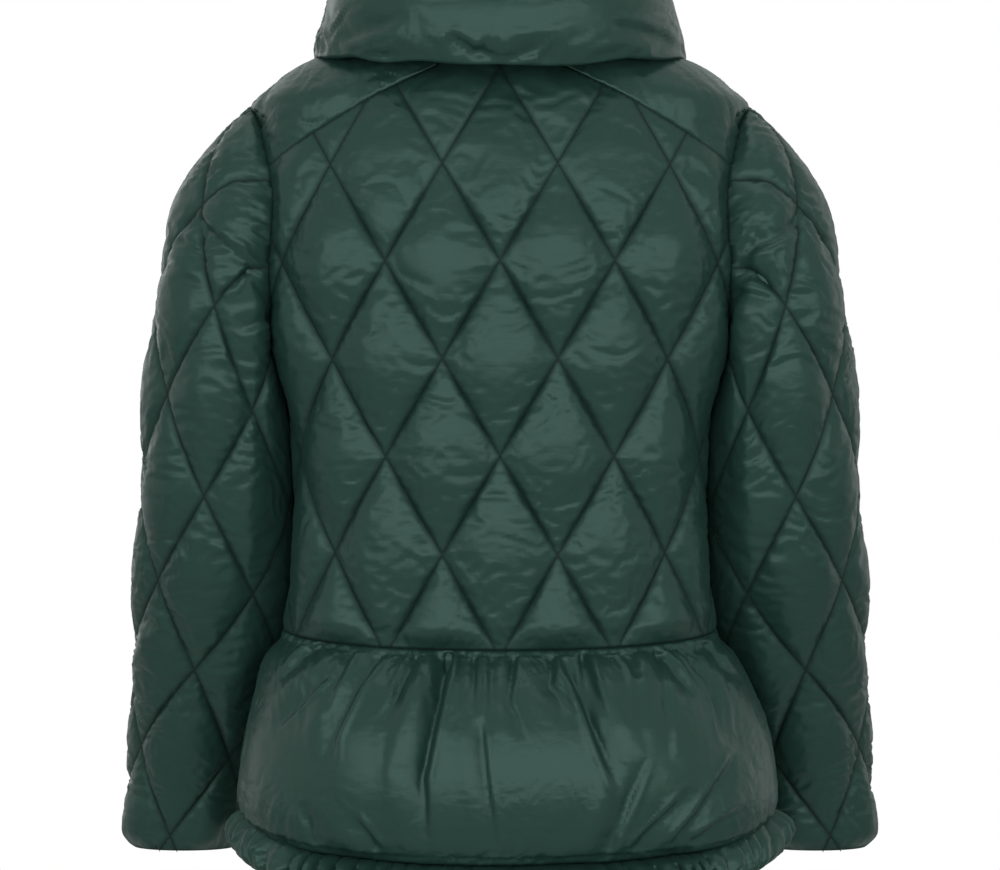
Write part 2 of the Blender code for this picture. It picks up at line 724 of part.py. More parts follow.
# ---- collar --------------------------------------------------------------------
def neck_point(turn):
    """Neck seam, turn 0 at the centre back to half a turn at the centre front."""
    behind = abs(turn) <= math.pi / 2
    x = NECK_HALF_WIDTH * abs(math.sin(turn))
    z = neck_z(x, behind)
    width, back, front, square = (smooth_column(BODY_SECTIONS, c, z / MM) for c in (1, 2, 3, 4))
    depth = (back if behind else -front) * MM
    share = max(1 - min(x / (width * MM), 1.0) ** square, 0.0) ** (1 / square)
    if x > 0.999 * NECK_HALF_WIDTH:
        share = 0.0
    return Vector((math.copysign(x, turn) if turn else 0.0, depth * share, z))


def collar_profile(turn, step):
    """Offsets outwards and up from the neck seam at one turn."""
    weights = {"back": max(math.cos(turn), 0.0) ** 1.5, "front": max(-math.cos(turn), 0.0) ** 1.5}
    weights["side"] = 1 - weights["back"] - weights["front"]
    tables = {"back": COLLAR_BACK, "side": COLLAR_SIDE, "front": COLLAR_FRONT}
    out = sum(weights[key] * tables[key][step][0] for key in tables)
    up = sum(weights[key] * tables[key][step][1] for key in tables)
    return out * MM, up * MM


def build_collar(group):
    last = math.pi - math.asin(ZIP_HALF_WIDTH / NECK_HALF_WIDTH)
    points, fills = [], []
    for c in range(COLLAR_COLUMNS + 1):
        turn = -last + 2 * last * c / COLLAR_COLUMNS
        seam = neck_point(turn)
        outward = Vector((math.sin(turn), math.cos(turn), 0))
        end = smoothstep(min(c, COLLAR_COLUMNS - c) / 1.5)
        for step in range(COLLAR_STEPS + 1):
            out, up = collar_profile(turn, step)
            points.append(seam + outward * out + Vector((0, 0, up + COLLAR_LIFT)))
            fills.append(COLLAR_FILL[step] * (0.25 + 0.75 * end))
    faces = []
    rows = COLLAR_STEPS + 1
    for c in range(COLLAR_COLUMNS):
        for step in range(COLLAR_STEPS):
            k = c * rows + step
            faces.append([k, k + 1, k + rows + 1, k + rows])
    thing = make_object(group, "collar", points, faces, make_material("collar", SHELL_COLOUR, 0.42))
    give_wall(thing, fills, COLLAR_PUFF, SEAM_WALL, 0.0)


# ---- peplum and ruffle ---------------------------------------------------------
def gather_drift(gathers, place):
    places = [row[0] for row in gathers]
    return float(np.interp(place, places, [row[1] for row in gathers]))


def gather_depth(gathers, place, drop, girth):
    """How far the peplum folds in at a share of the half girth and of its drop."""
    inwards = 0.0
    for centre, drift, length, depth, half_width in gathers:
        across = abs(place - centre) * girth / (half_width * MM)
        if across < 1 and drop < length:
            fade = min(drop / 0.05, 1.0) * (1 - drop / length) ** 0.7
            inwards += depth * MM * (1 - across) * fade
    return inwards


def skirt_columns(gathers, first, last, girth, step):
    """Places of the mesh columns at the waist seam: every fold has three."""
    places = [first, last]
    for centre, drift, length, depth, half_width in gathers:
        places += [centre - half_width * MM / girth, centre, centre + half_width * MM / girth]
    places = sorted(place for place in places if first <= place <= last)
    filled = [places[0]]
    for place in places[1:]:
        room = (place - filled[-1]) * girth
        if room < 2 * MM:
            continue
        extra = int(room / step)
        before = filled[-1]
        filled += [before + (place - before) * k / (extra + 1) for k in range(1, extra + 1)]
        filled.append(place)
    filled[-1] = last
    return filled


def outwards(table, arc, z):
    """Level direction straight out of the form."""
    a, b = on_ring(table, arc - 2 * MM, z), on_ring(table, arc + 2 * MM, z)
    return Vector((a.y - b.y, b.x - a.x, 0)).normalized()


PEPLUM_ROWS = [-498.4, -504, -514, -532, -560, -598, -634, -651, -657.4]
PEPLUM_STEP = 38 * MM        # widest mesh column between two folds
DRIFT_EASE = 4.0             # folds drift less towards the side seams


def build_peplum_piece(group, name, gathers, first, last, edge_arc):
    """One panel of the peplum; edge_arc(share, z) gives the arc length there."""
    girth = half_girth(PEPLUM_SECTIONS, WAIST_Z)
    columns = skirt_columns(gathers, first, last, girth, PEPLUM_STEP)
    points, fills = [], []
    for level in PEPLUM_ROWS:
        z = level * MM
        drop = (WAIST_Z - z) / (WAIST_Z - HEM_Z)
        for place in columns:
            ends = min(place - first, last - place) / (last - first)
            drift = gather_drift(gathers, place) * drop * smoothstep(ends * DRIFT_EASE)
            arc = edge_arc(place + drift, z)
            inwards = gather_depth(gathers, place, drop, girth) * smoothstep(ends * 30)
            points.append(on_ring(PEPLUM_SECTIONS, arc, z)
                          - outwards(PEPLUM_SECTIONS, arc, z) * inwards)
            edges = smoothstep(drop * 7) * smoothstep((1 - drop) * 7) * smoothstep(ends * 14)
            fills.append(edges ** 0.5 * (1 - 0.6 * min(inwards / (6 * MM), 1)))
    faces = []
    count = len(columns)
    for r in range(len(PEPLUM_ROWS) - 1):
        for c in range(count - 1):
            k = r * count + c
            faces.append([k, k + 1, k + count + 1, k + count])
    faces = face_outwards(faces, points, body_away_level)
    thing = make_object(group, name, points, faces, make_material(name, SHELL_COLOUR, 0.40))
    give_wall(thing, fills, PEPLUM_PUFF)


def body_away_level(point):
    return Vector((point.x, point.y, 0))


def back_edge_arc(share, z, table=PEPLUM_SECTIONS):
    """Arc length of a back column: share 0.5 is the side seam."""
    return 2 * share * (side_arc(z, table) - SEAM_GAP / 2)


def front_edge_arc(share, z, table=PEPLUM_SECTIONS):
    """Arc length of a front column: share 0.5 the side seam, 1 the zip."""
    side = side_arc(z, table) + SEAM_GAP / 2
    centre = arc_at_x(ZIP_HALF_WIDTH, z, False, table)
    return side + (centre - side) * (share - 0.5) * 2


def mirrored(arc_rule):
    return lambda share, z: -arc_rule(-share, z)


def flip_gathers(gathers):
    return [(-row[0], -row[1]) + row[2:] for row in reversed(gathers)]


def build_peplum(group):
    back = sorted(GATHERS_BACK_RIGHT + GATHERS_BACK_LEFT)
    build_peplum_piece(group, "peplum_back", back, -0.5, 0.5, back_edge_arc)
    build_peplum_piece(group, "peplum_front_left", GATHERS_FRONT, 0.5, 1.0, front_edge_arc)
    build_peplum_piece(group, "peplum_front_right", flip_gathers(GATHERS_FRONT), -1.0, -0.5,
                       mirrored(front_edge_arc))


RUFFLE_ROWS = [(0.0, 0.0), (0.13, 0.0), (0.4, 8.0), (0.75, 14.0), (1.0, 14.0)]
RUFFLE_FILL = [0.0, 0.1, 1.0, 1.0, 0.35]
RUFFLE_PUFF = 7 * MM
RUFFLE_WAVES = 14            # frills in a half girth
RUFFLE_WAVE = 3.5 * MM       # how far a frill swings out and in
RUFFLE_RISE = 2.0 * MM       # and lifts its edge
RUFFLE_COLUMNS = 19          # mesh columns in a quarter of the hem


def build_ruffle_piece(group, name, first, last, edge_rule, count):
    """A gathered frill under the hem seam, from share first to share last."""
    table = PEPLUM_SECTIONS
    points, fills = [], []
    for (down, out), fill in zip(RUFFLE_ROWS, RUFFLE_FILL):
        z = HEM_Z - 2 * SEAM_GAP - down * RUFFLE_DROP
        for c in range(count + 1):
            share = first + (last - first) * c / count
            ends = min(c, count - c)
            arc = edge_rule(share, HEM_Z)
            wave = math.sin(2 * math.pi * RUFFLE_WAVES * share + 1.6 * math.sin(9 * share))
            swing = wave * smoothstep(ends / 2)
            push = out * MM + RUFFLE_WAVE * swing * smoothstep(down * 2)
            rise = RUFFLE_RISE * swing * down
            spot = on_ring(table, arc, HEM_Z) + outwards(table, arc, HEM_Z) * push
            points.append(Vector((spot.x, spot.y, z + rise)))
            fills.append(fill * (0.4 + 0.6 * smoothstep(ends / 2)) * (0.75 + 0.25 * wave))
    faces = []
    for r in range(len(RUFFLE_ROWS) - 1):
        for c in range(count):
            k = r * (count + 1) + c
            faces.append([k, k + 1, k + count + 2, k + count + 1])
    faces = face_outwards(faces, points, body_away_level)
    thing = make_object(group, name, points, faces, make_material(name, SHELL_COLOUR, 0.42))
    give_wall(thing, fills, RUFFLE_PUFF)


def build_ruffle(group):
    build_ruffle_piece(group, "ruffle_back", -0.5, 0.5, back_edge_arc, 2 * RUFFLE_COLUMNS)
    build_ruffle_piece(group, "ruffle_front_left", 0.5, 1.0, front_edge_arc, RUFFLE_COLUMNS)
    build_ruffle_piece(group, "ruffle_front_right", -1.0, -0.5, mirrored(front_edge_arc), RUFFLE_COLUMNS)


# ---- zip -----------------------------------------------------------------------
TAPE_INNER = 1.6 * MM
TAPE_OUTER = ZIP_HALF_WIDTH - 0.4 * MM
TAPE_WALL = 1.4 * MM
COIL_HALF_WIDTH = 1.2 * MM
COIL_WALL = 2.2 * MM
STRIP_ROWS = 18
SLIDER_Z = -76 * MM
SLIDER_SIZE = (8.0 * MM, 2.4 * MM, 11.0 * MM)
PIN_FORWARD = 8.8 * MM       # the pull's axle, out from the form
PIN_RADIUS = 0.6 * MM
PULL_WIDTH = 5.4 * MM
PULL_LENGTH = 21 * MM
PULL_THICK = 1.4 * MM
LUG_INSIDE = 2.1 * MM
KNUCKLE_RADIUS = 1.8 * MM
EYE_RADIUS = 0.95 * MM
TONGUE_START = 6 * MM       # where the pull widens, below the pin
METAL_COLOUR = (0.10, 0.11, 0.11, 1.0)


def front_line(x, z):
    """Point of the centre front at a small distance x from the middle."""
    table = BODY_SECTIONS if z > WAIST_Z else PEPLUM_SECTIONS
    return on_ring(table, math.copysign(arc_at_x(abs(x), z, False, table), x), z)


def build_strip(group, name, x_left, x_right, wall, colour, roughness):
    top, bottom = NECK_FRONT_Z - 1 * MM, HEM_Z + 0.3 * MM
    points = []
    for z in spread(top, bottom, STRIP_ROWS):
        for x in (x_left, x_right):
            if abs(x) < 0.01 * MM:
                x = 0.01 * MM
            points.append(front_line(x, z))
    faces = []
    for r in range(STRIP_ROWS):
        faces.append([2 * r, 2 * r + 1, 2 * r + 3, 2 * r + 2])
    faces = face_outwards(faces, points, lambda p: Vector((0, -1, 0)))
    thing = make_object(group, name, points, faces, make_material(name, colour, roughness))
    solidify = thing.modifiers.new("wall", "SOLIDIFY")
    solidify.thickness = wall
    solidify.offset = 1.0
    solidify.use_even_offset = False
    return thing


def make_block(name, size, place):
    bpy.ops.mesh.primitive_cube_add(size=1.0, location=(0, 0, 0))
    thing = bpy.context.active_object
    thing.name = name
    for vertex in thing.data.vertices:
        vertex.co = Vector((vertex.co.x * size[0], vertex.co.y * size[1],
                            vertex.co.z * size[2])) + Vector(place)
    return thing


def move_to(group, thing):
    for owner in list(thing.users_collection):
        owner.objects.unlink(thing)
    group.objects.link(thing)


def hide_cutter(cutters, thing):
    move_to(cutters, thing)
    thing.hide_render = True
    thing.display_type = "WIRE"


def join_to(thing, extra):
    join = thing.modifiers.new("join", "BOOLEAN")
    join.operation = "UNION"
    join.object = extra


def build_zip(group, cutters):
    build_strip(group, "zip_tape_left", TAPE_INNER, TAPE_OUTER, TAPE_WALL, SHELL_COLOUR, 0.8)
    build_strip(group, "zip_tape_right", -TAPE_OUTER, -TAPE_INNER, TAPE_WALL, SHELL_COLOUR, 0.8)
    build_strip(group, "zip_coil", -COIL_HALF_WIDTH, COIL_HALF_WIDTH, COIL_WALL,
                SHELL_COLOUR, 0.5)
    stop_z = HEM_Z + 6 * MM
    stop_y = front_line(0.0001, stop_z).y - COIL_WALL - 3.0 * MM
    stop = make_block("zip_stop", (6 * MM, 2 * MM, 6 * MM), (0, stop_y, stop_z))
    stop.data.materials.append(make_material("zip_stop", METAL_COLOUR, 0.35, 1.0))
    move_to(group, stop)

    width, thick, height = SLIDER_SIZE
    face_y = front_line(0.0001, SLIDER_Z - height / 2).y - COIL_WALL - 0.4 * MM
    pin_y = front_line(0.0001, SLIDER_Z).y - PIN_FORWARD
    slider = make_block("zip_slider", SLIDER_SIZE, (0, face_y - thick / 2, SLIDER_Z))
    slider.data.materials.append(make_material("zip_slider", METAL_COLOUR, 0.3, 1.0))
    move_to(group, slider)
    lug_y0, lug_y1 = face_y - thick / 2, pin_y - 1.4 * MM
    additions = []
    for side in (-1, 1):
        lug = make_block("lug", (1.2 * MM, lug_y0 - lug_y1, 3.4 * MM),
                         (side * (LUG_INSIDE + 0.6 * MM), (lug_y0 + lug_y1) / 2, SLIDER_Z))
        additions.append(lug)
    bpy.ops.mesh.primitive_cylinder_add(vertices=12, radius=PIN_RADIUS, depth=2 * LUG_INSIDE + 1.2 * MM,
                                        location=(0, pin_y, SLIDER_Z), rotation=(0, math.pi / 2, 0))
    additions.append(bpy.context.active_object)
    for extra in additions:
        hide_cutter(cutters, extra)
        join_to(slider, extra)
    build_pull(group, pin_y, cutters)


def build_pull(group, pin_y, cutters):
    """The pull tab: a knuckle on the pin and a flat tongue, seen from the side."""
    half = PULL_THICK / 2
    join = math.asin(half / KNUCKLE_RADIUS)
    knuckle = [(KNUCKLE_RADIUS * math.sin(turn), -KNUCKLE_RADIUS * math.cos(turn))
               for turn in spread(join, math.tau - join, 12)]
    outline = knuckle + [(-half, -PULL_LENGTH), (half, -PULL_LENGTH)]
    eye = [(EYE_RADIUS * math.cos(math.tau * k / 12), EYE_RADIUS * math.sin(math.tau * k / 12))
           for k in range(12)]
    data = bpy.data.curves.new("zip_pull", "CURVE")
    data.dimensions = "2D"
    data.fill_mode = "BOTH"
    data.extrude = LUG_INSIDE - SEAM_GAP
    for loop in (outline, eye):
        spline = data.splines.new("POLY")
        spline.points.add(len(loop) - 1)
        for point, (y, z) in zip(spline.points, loop):
            point.co = (y, z, 0, 1)
        spline.use_cyclic_u = True
    flat = bpy.data.objects.new("pull_outline", data)
    bpy.context.scene.collection.objects.link(flat)
    graph = bpy.context.evaluated_depsgraph_get()
    mesh = bpy.data.meshes.new_from_object(flat.evaluated_get(graph))
    bm = bmesh.new()
    bm.from_mesh(mesh)
    for vertex in bm.verts:
        vertex.co = Vector((vertex.co.z, vertex.co.x, vertex.co.y))
    bmesh.ops.remove_doubles(bm, verts=bm.verts, dist=0.01 * MM)
    bmesh.ops.recalc_face_normals(bm, faces=bm.faces)
    bm.to_mesh(mesh)
    bm.free()
    bpy.data.objects.remove(flat, do_unlink=True)
    pull = bpy.data.objects.new("zip_pull", mesh)
    mesh.materials.clear()
    mesh.materials.append(make_material("zip_pull", METAL_COLOUR, 0.3, 1.0))
    pull.location = (0, pin_y, SLIDER_Z)
    group.objects.link(pull)
    tongue_length = PULL_LENGTH - TONGUE_START
    tongue = make_block("tongue", (PULL_WIDTH, 0.999 * PULL_THICK, tongue_length + 1 * MM),
                        (0, pin_y, SLIDER_Z - (PULL_LENGTH + TONGUE_START + 1 * MM) / 2))
    hide_cutter(cutters, tongue)
    join_to(pull, tongue)


def main():
    clear_scene()
    jacket = make_collection("quilted_jacket")
    cutters = make_collection("cutters")
    build_body(jacket)
    build_yokes(jacket)
    build_sleeves(jacket)
    build_collar(jacket)
    build_peplum(jacket)
    build_ruffle(jacket)
    build_zip(jacket, cutters)


main()
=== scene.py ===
import math
import bpy
import numpy as np
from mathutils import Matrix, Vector
from mathutils.geometry import delaunay_2d_cdt
from mathutils.noise import noise


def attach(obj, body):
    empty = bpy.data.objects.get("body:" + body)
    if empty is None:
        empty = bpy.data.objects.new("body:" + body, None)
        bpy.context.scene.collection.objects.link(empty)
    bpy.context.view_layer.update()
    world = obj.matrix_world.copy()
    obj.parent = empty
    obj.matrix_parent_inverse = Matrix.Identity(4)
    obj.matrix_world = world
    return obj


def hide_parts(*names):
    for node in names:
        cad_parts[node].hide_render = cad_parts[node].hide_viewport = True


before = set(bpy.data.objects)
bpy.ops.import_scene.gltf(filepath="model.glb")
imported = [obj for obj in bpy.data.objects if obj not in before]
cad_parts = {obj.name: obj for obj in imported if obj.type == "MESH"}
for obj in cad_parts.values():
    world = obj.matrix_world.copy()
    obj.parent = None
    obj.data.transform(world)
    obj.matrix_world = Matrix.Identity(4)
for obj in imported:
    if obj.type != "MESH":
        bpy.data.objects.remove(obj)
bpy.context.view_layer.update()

mm = 0.001

cut = {
    "seamGap": 0.3 * mm,
    "seamWall": 2.2 * mm,       # cloth sewn together, over the form
    "zipHalfWidth": 9 * mm,
    "waist": -498 * mm,
    "hem": -658 * mm,
    "shoulderTip": -60 * mm,
    "underarm": -280 * mm,
    "armholeHalfDepth": 62 * mm,
    "neckHalfWidth": 82 * mm,
    "neckBack": -12 * mm,
    "neckFront": -62 * mm,
}

# height, half width, depth behind and before the side line, squareness (mm)
bodySections = [
    (0, 82, 58, 52, 2.0), (-10, 100, 63, 58, 2.0), (-20, 126, 70, 65, 2.0),
    (-29, 148, 76, 78, 2.05), (-47, 184, 86, 93, 2.1), (-60, 204, 92, 100, 2.15),
    (-82, 199, 100, 106, 2.3), (-110, 199, 107, 111, 2.4), (-180, 205, 117, 120, 2.4),
    (-230, 194, 118, 124, 2.4), (-255, 187, 117, 124, 2.4), (-280, 179, 116, 124, 2.4),
    (-305, 172, 114, 123, 2.4), (-335, 168, 112, 121, 2.4), (-400, 166, 108, 117, 2.35),
    (-450, 169, 105, 114, 2.3), (-498, 176, 105, 113, 2.25),
]
peplumSections = [
    (-498, 176, 105, 113, 2.25), (-504, 176, 105, 113, 2.25), (-520, 189, 117, 123, 2.2),
    (-545, 200, 131, 135, 2.2), (-580, 209, 143, 145, 2.2), (-615, 211, 148, 149, 2.2),
    (-636, 211, 146, 147, 2.2), (-651, 208, 141, 142, 2.2), (-658, 207, 140.5, 141.5, 2.2),
]
# ends of each ring of the left sleeve, half its depth, place of its centre (mm)
sleeveSections = [
    # outerX, outerZ, innerX, innerZ, halfDepth, centreY
    (205, -60, 187.5, -281.5, 61, 0), (224, -80, 187, -284, 67, 0),
    (241, -104, 183, -288, 71, 0), (262, -150, 179, -296, 73, -1),
    (276, -208, 175, -311, 72, -3), (284, -276, 172, -334, 69, -8),
    (290, -345, 170, -366, 66, -15), (295, -420, 169, -426, 62, -29),
    (300, -490, 174, -490, 57, -54), (305, -560, 195, -560, 51, -84),
    (309, -620, 213, -620, 46, -104), (312, -660, 221, -660, 42, -112),
    (310, -680, 228, -680, 38, -114),
]
yokeSeamBack = [(42, -8.6), (50, -32), (99, -56), (153, -88), (187, -112)]
yokeSeamFront = [(60, -38), (99, -56), (153, -90), (186.7, -118)]


def smoothCurve(xs, ys):
    # monotone cubic through a column of a table
    xs, ys = np.array(xs, float), np.array(ys, float)
    if xs[0] > xs[-1]:
        xs, ys = xs[::-1], ys[::-1]
    gaps = np.diff(xs)
    slopes = np.diff(ys) / gaps
    ends = np.concatenate(([slopes[0]], np.zeros(len(xs) - 2), [slopes[-1]]))
    for k in range(1, len(xs) - 1):
        a, b = slopes[k - 1], slopes[k]
        ends[k] = 0.0 if a * b <= 0 else 2 * a * b / (a + b)

    def at(value):
        value = np.clip(value, xs[0], xs[-1])
        k = np.minimum(np.searchsorted(xs, value, side="right") - 1, len(xs) - 2)
        t = (value - xs[k]) / gaps[k]
        return ((1 + 2 * t) * (1 - t) ** 2 * ys[k] + t * (1 - t) ** 2 * gaps[k] * ends[k]
                + t * t * (3 - 2 * t) * ys[k + 1] - t * t * (1 - t) * gaps[k] * ends[k + 1])
    return at


def smoothstep(value):
    value = np.clip(value, 0.0, 1.0)
    return value * value * (3 - 2 * value)


class Form:
    # level rings of a body part, read by arc length from the centre back
    def __init__(self, table):
        rows = [smoothCurve([row[0] for row in table], [row[c] for row in table])
                for c in range(1, 5)]
        self.width, self.back, self.front, self.square = rows
        self.levels = np.arange(min(row[0] for row in table), 0.5 + table[0][0], 1.0)
        turn = np.linspace(0, math.pi, 721)
        sine, cosine = np.sin(turn), np.cos(turn)
        shares = np.linspace(0, 1, 401)
        girths, xs, ys = [], [], []
        for level in self.levels:
            square = self.square(level)
            x = self.width(level) * np.abs(sine) ** (2 / square)
            depth = np.where(cosine >= 0, self.back(level), self.front(level))
            y = depth * np.sign(cosine) * np.abs(cosine) ** (2 / square)
            x[0] = x[-1] = 0.0
            s = np.concatenate(([0], np.cumsum(np.hypot(np.diff(x), np.diff(y)))))
            girths.append(s[-1] * mm)
            xs.append(np.interp(shares, s / s[-1], x) * mm)
            ys.append(np.interp(shares, s / s[-1], y) * mm)
        self.girths, self.xs, self.ys = np.array(girths), np.array(xs), np.array(ys)

    def girth(self, z):
        return np.interp(np.asarray(z) / mm, self.levels, self.girths)

    def place(self, arc, z):
        arc, z = np.broadcast_arrays(np.asarray(arc, float), np.asarray(z, float))
        row = np.clip((z / mm - self.levels[0]), 0, len(self.levels) - 1.001)
        r = row.astype(int)
        fr = row - r
        share = np.clip(np.abs(arc) / self.girth(z), 0, 1) * 400
        c = np.minimum(share.astype(int), 399)
        fc = share - c

        def mix(grid):
            low = grid[r, c] * (1 - fc) + grid[r, c + 1] * fc
            high = grid[r + 1, c] * (1 - fc) + grid[r + 1, c + 1] * fc
            return low * (1 - fr) + high * fr
        return np.stack([np.where(arc >= 0, 1, -1) * mix(self.xs), mix(self.ys), z], -1)

    def ring(self, z):
        row = min(max((z / mm - self.levels[0]), 0), len(self.levels) - 1.001)
        r, fr = int(row), row - int(row)
        x = self.xs[r] * (1 - fr) + self.xs[r + 1] * fr
        y = self.ys[r] * (1 - fr) + self.ys[r + 1] * fr
        return x, y, np.linspace(0, 1, 401) * float(self.girth(z))

    def arcAtX(self, x, z, behind=True):
        xs, ys, s = self.ring(z)
        half = int(np.argmax(xs))
        if behind:
            return float(np.interp(x, xs[:half + 1], s[:half + 1]))
        return float(np.interp(x, xs[half:][::-1], s[half:][::-1]))

    def arcAtY(self, y, z):
        xs, ys, s = self.ring(z)
        return float(np.interp(-y, -ys, s))

    def sideArc(self, z):
        return self.arcAtY(0.0, z)


def runningLength(points):
    return np.concatenate(([0], np.cumsum(np.linalg.norm(np.diff(points, axis=0), axis=1))))


def unit(vectors):
    return vectors / np.maximum(np.linalg.norm(vectors, axis=-1, keepdims=True), 1e-12)


hang = {
    "sideLift": 9 * mm,     # the waist and hem seams rise to the sides
    "backDrop": 0.150,      # and drop to the centre back, for each metre of depth
    "frontDrop": 0.100,
    "hemLift": 7 * mm,      # the hem alone rises this much more to the sides
    "backShift": -6 * mm,   # the peplum's back hangs a little to the right
}


def settle(points, wall=0.0):
    # moves points with the hanging cloth; a panel's fit is told its wall, which this one ignores
    x, y, z = points[:, 0], points[:, 1], points[:, 2]
    low = smoothstep((-0.400 - z) / 0.090)
    deep = np.sqrt(y * y + 0.02 ** 2) - 0.02
    slope = np.where(y > 0, hang["backDrop"], hang["frontDrop"])
    aside = smoothstep((-0.510 - z) / 0.070) * smoothstep((y + 0.08) / 0.10)
    hem = hang["hemLift"] * (1 - 1.4 * smoothstep(np.abs(y) / 0.15))
    z = z + low * (hang["sideLift"] - slope * deep) + smoothstep((-0.600 - z) / 0.055) * hem
    return np.stack([x + hang["backShift"] * aside, y, z], -1)


bodyForm = Form(bodySections)
peplumForm = Form(peplumSections)


def armholeHalfDepth(z):
    share = np.clip((z - cut["shoulderTip"]) / (cut["underarm"] - cut["shoulderTip"]), 0, 1)
    return cut["armholeHalfDepth"] * np.sin(math.pi * share) ** 0.7


def neckZ(x, behind):
    lowest = cut["neckBack"] if behind else cut["neckFront"]
    share = min(abs(x) / cut["neckHalfWidth"], 1.0)
    return lowest * (1 - share ** 2.2) ** (1.0 if behind else 0.75)


def yokeSeamZ(x, behind):
    table = yokeSeamBack if behind else yokeSeamFront
    return float(np.interp(x / mm, [p[0] for p in table], [p[1] for p in table])) * mm


quilt = {
    "bodyDiamond": (92 * mm, 156 * mm, -35 * mm, 0.0),      # width, height, first row, shift
    "sleeveDiamond": (82 * mm, 157 * mm, -52 * mm, -31 * mm),   # the row is down from the biceps
    "steps": 30,            # mesh steps along a diamond's side
    "edgeStep": 2.9 * mm,   # mesh steps along a cut edge
    "innerSteps": 6,        # the same steps on the inner skin
    "onLine": 0.3 * mm,     # nearer to a line than this is sewn
    "bodyRise": 11 * mm,
    "sleeveRise": 8.5 * mm,
    "bodyEase": 20 * mm,    # a panel is full this far from its edges
    "sleeveEase": 14 * mm,
}


def insideMany(outline, points):
    found = np.zeros(len(points), bool)
    px, py = points[:, 0], points[:, 1]
    for (ax, ay), (bx, by) in zip(outline, np.roll(outline, -1, axis=0)):
        if ay == by:
            continue
        crosses = (ay > py) != (by > py)
        found ^= crosses & (px < ax + (py - ay) * (bx - ax) / (by - ay))
    return found


def edgeDistance(outline, points):
    best = np.full(len(points), 1e9)
    for a, b in zip(outline, np.roll(outline, -1, axis=0)):
        along = b - a
        size = max(float(along @ along), 1e-14)
        t = np.clip(((points - a) @ along) / size, 0, 1)
        best = np.minimum(best, np.hypot(*(a + t[:, None] * along - points).T))
    return best


def resample(outline, step):
    # corners stay; long edges get points in between
    points = []
    for a, b in zip(outline, outline[1:] + outline[:1]):
        a, b = np.array(a), np.array(b)
        count = max(int(round(np.linalg.norm(b - a) / step)), 1)
        points += [a + (b - a) * k / count for k in range(count)]
    return np.array(points)


def layGrid(outline, diamond, steps, edgeStep):
    # near-equal triangles whose edges run along the quilting lines
    width, height, start, shift = diamond
    border = resample(outline, edgeStep)
    ahead = np.roll(border, -1, axis=0)
    if np.sum(border[:, 0] * ahead[:, 1] - border[:, 1] * ahead[:, 0]) < 0:
        border = border[::-1]
    span = border.max(0) - border.min(0)
    reach = int((span[0] / width + span[1] / height + 4) * steps * 2)
    i, j = np.meshgrid(np.arange(-reach, reach + 1), np.arange(-reach, reach + 1))
    x = shift + (i + j).ravel() * width / 2 / steps
    y = start + (i - j).ravel() * height / 2 / steps
    keep = ((x > border[:, 0].min()) & (x < border[:, 0].max())
            & (y > border[:, 1].min()) & (y < border[:, 1].max()))
    points = np.stack([x[keep], y[keep]], -1)
    points = points[insideMany(border, points)]
    points = points[edgeDistance(border, points) > 0.5 * edgeStep]
    everything = np.concatenate([border, points]) / mm
    result = delaunay_2d_cdt([Vector(p) for p in everything], [], [list(range(len(border)))],
                             0, 1e-4)
    flat = np.array([tuple(p) for p in result[0]]) * mm
    faces = np.array([f for f, owner in zip(result[2], result[5]) if owner])
    used = np.unique(faces)
    renumber = np.zeros(len(flat), int)
    renumber[used] = np.arange(len(used))
    return flat[used], renumber[faces], border


def lineDistance(flat, diamond):
    # distance in the cloth from the nearest quilting line
    width, height, start, shift = diamond
    across, down = (flat[:, 0] - shift) / width, (flat[:, 1] - start) / height
    spread = width * height / math.hypot(width, height)
    a, b = across - down, across + down
    return np.minimum(np.abs(a - np.round(a)), np.abs(b - np.round(b))) * spread


def nearestFill(flat, diamond):
    width, height, start, shift = diamond
    across, down = (flat[:, 0] - shift) / width, (flat[:, 1] - start) / height
    return np.abs(np.sin(math.pi * (across - down)) * np.sin(math.pi * (across + down)))


def spread(first, last, count):
    return [first + (last - first) * k / (count - 1) for k in range(count)]


def backOutline():
    gap = cut["seamGap"] / 2
    half = [(0.0, cut["neckBack"])]
    for x in spread(0.0, yokeSeamBack[0][0] * mm, 5)[1:]:
        half.append((bodyForm.arcAtX(x, neckZ(x, True)), neckZ(x, True)))
    for x, z in yokeSeamBack[1:-1]:
        half.append((bodyForm.arcAtX(x * mm, z * mm) - gap, z * mm - gap))
    for z in spread(yokeSeamBack[-1][1] * mm - gap, cut["underarm"] + 6 * mm, 12):
        half.append((bodyForm.arcAtY(armholeHalfDepth(z) + 0.3 * mm, z), z))
    for z in spread(cut["underarm"], cut["waist"] + gap, 14):
        half.append((bodyForm.sideArc(z) - gap, z))
    half.append((0.0, cut["waist"] + gap))
    return half + [(-s, z) for s, z in half[-2:0:-1]]


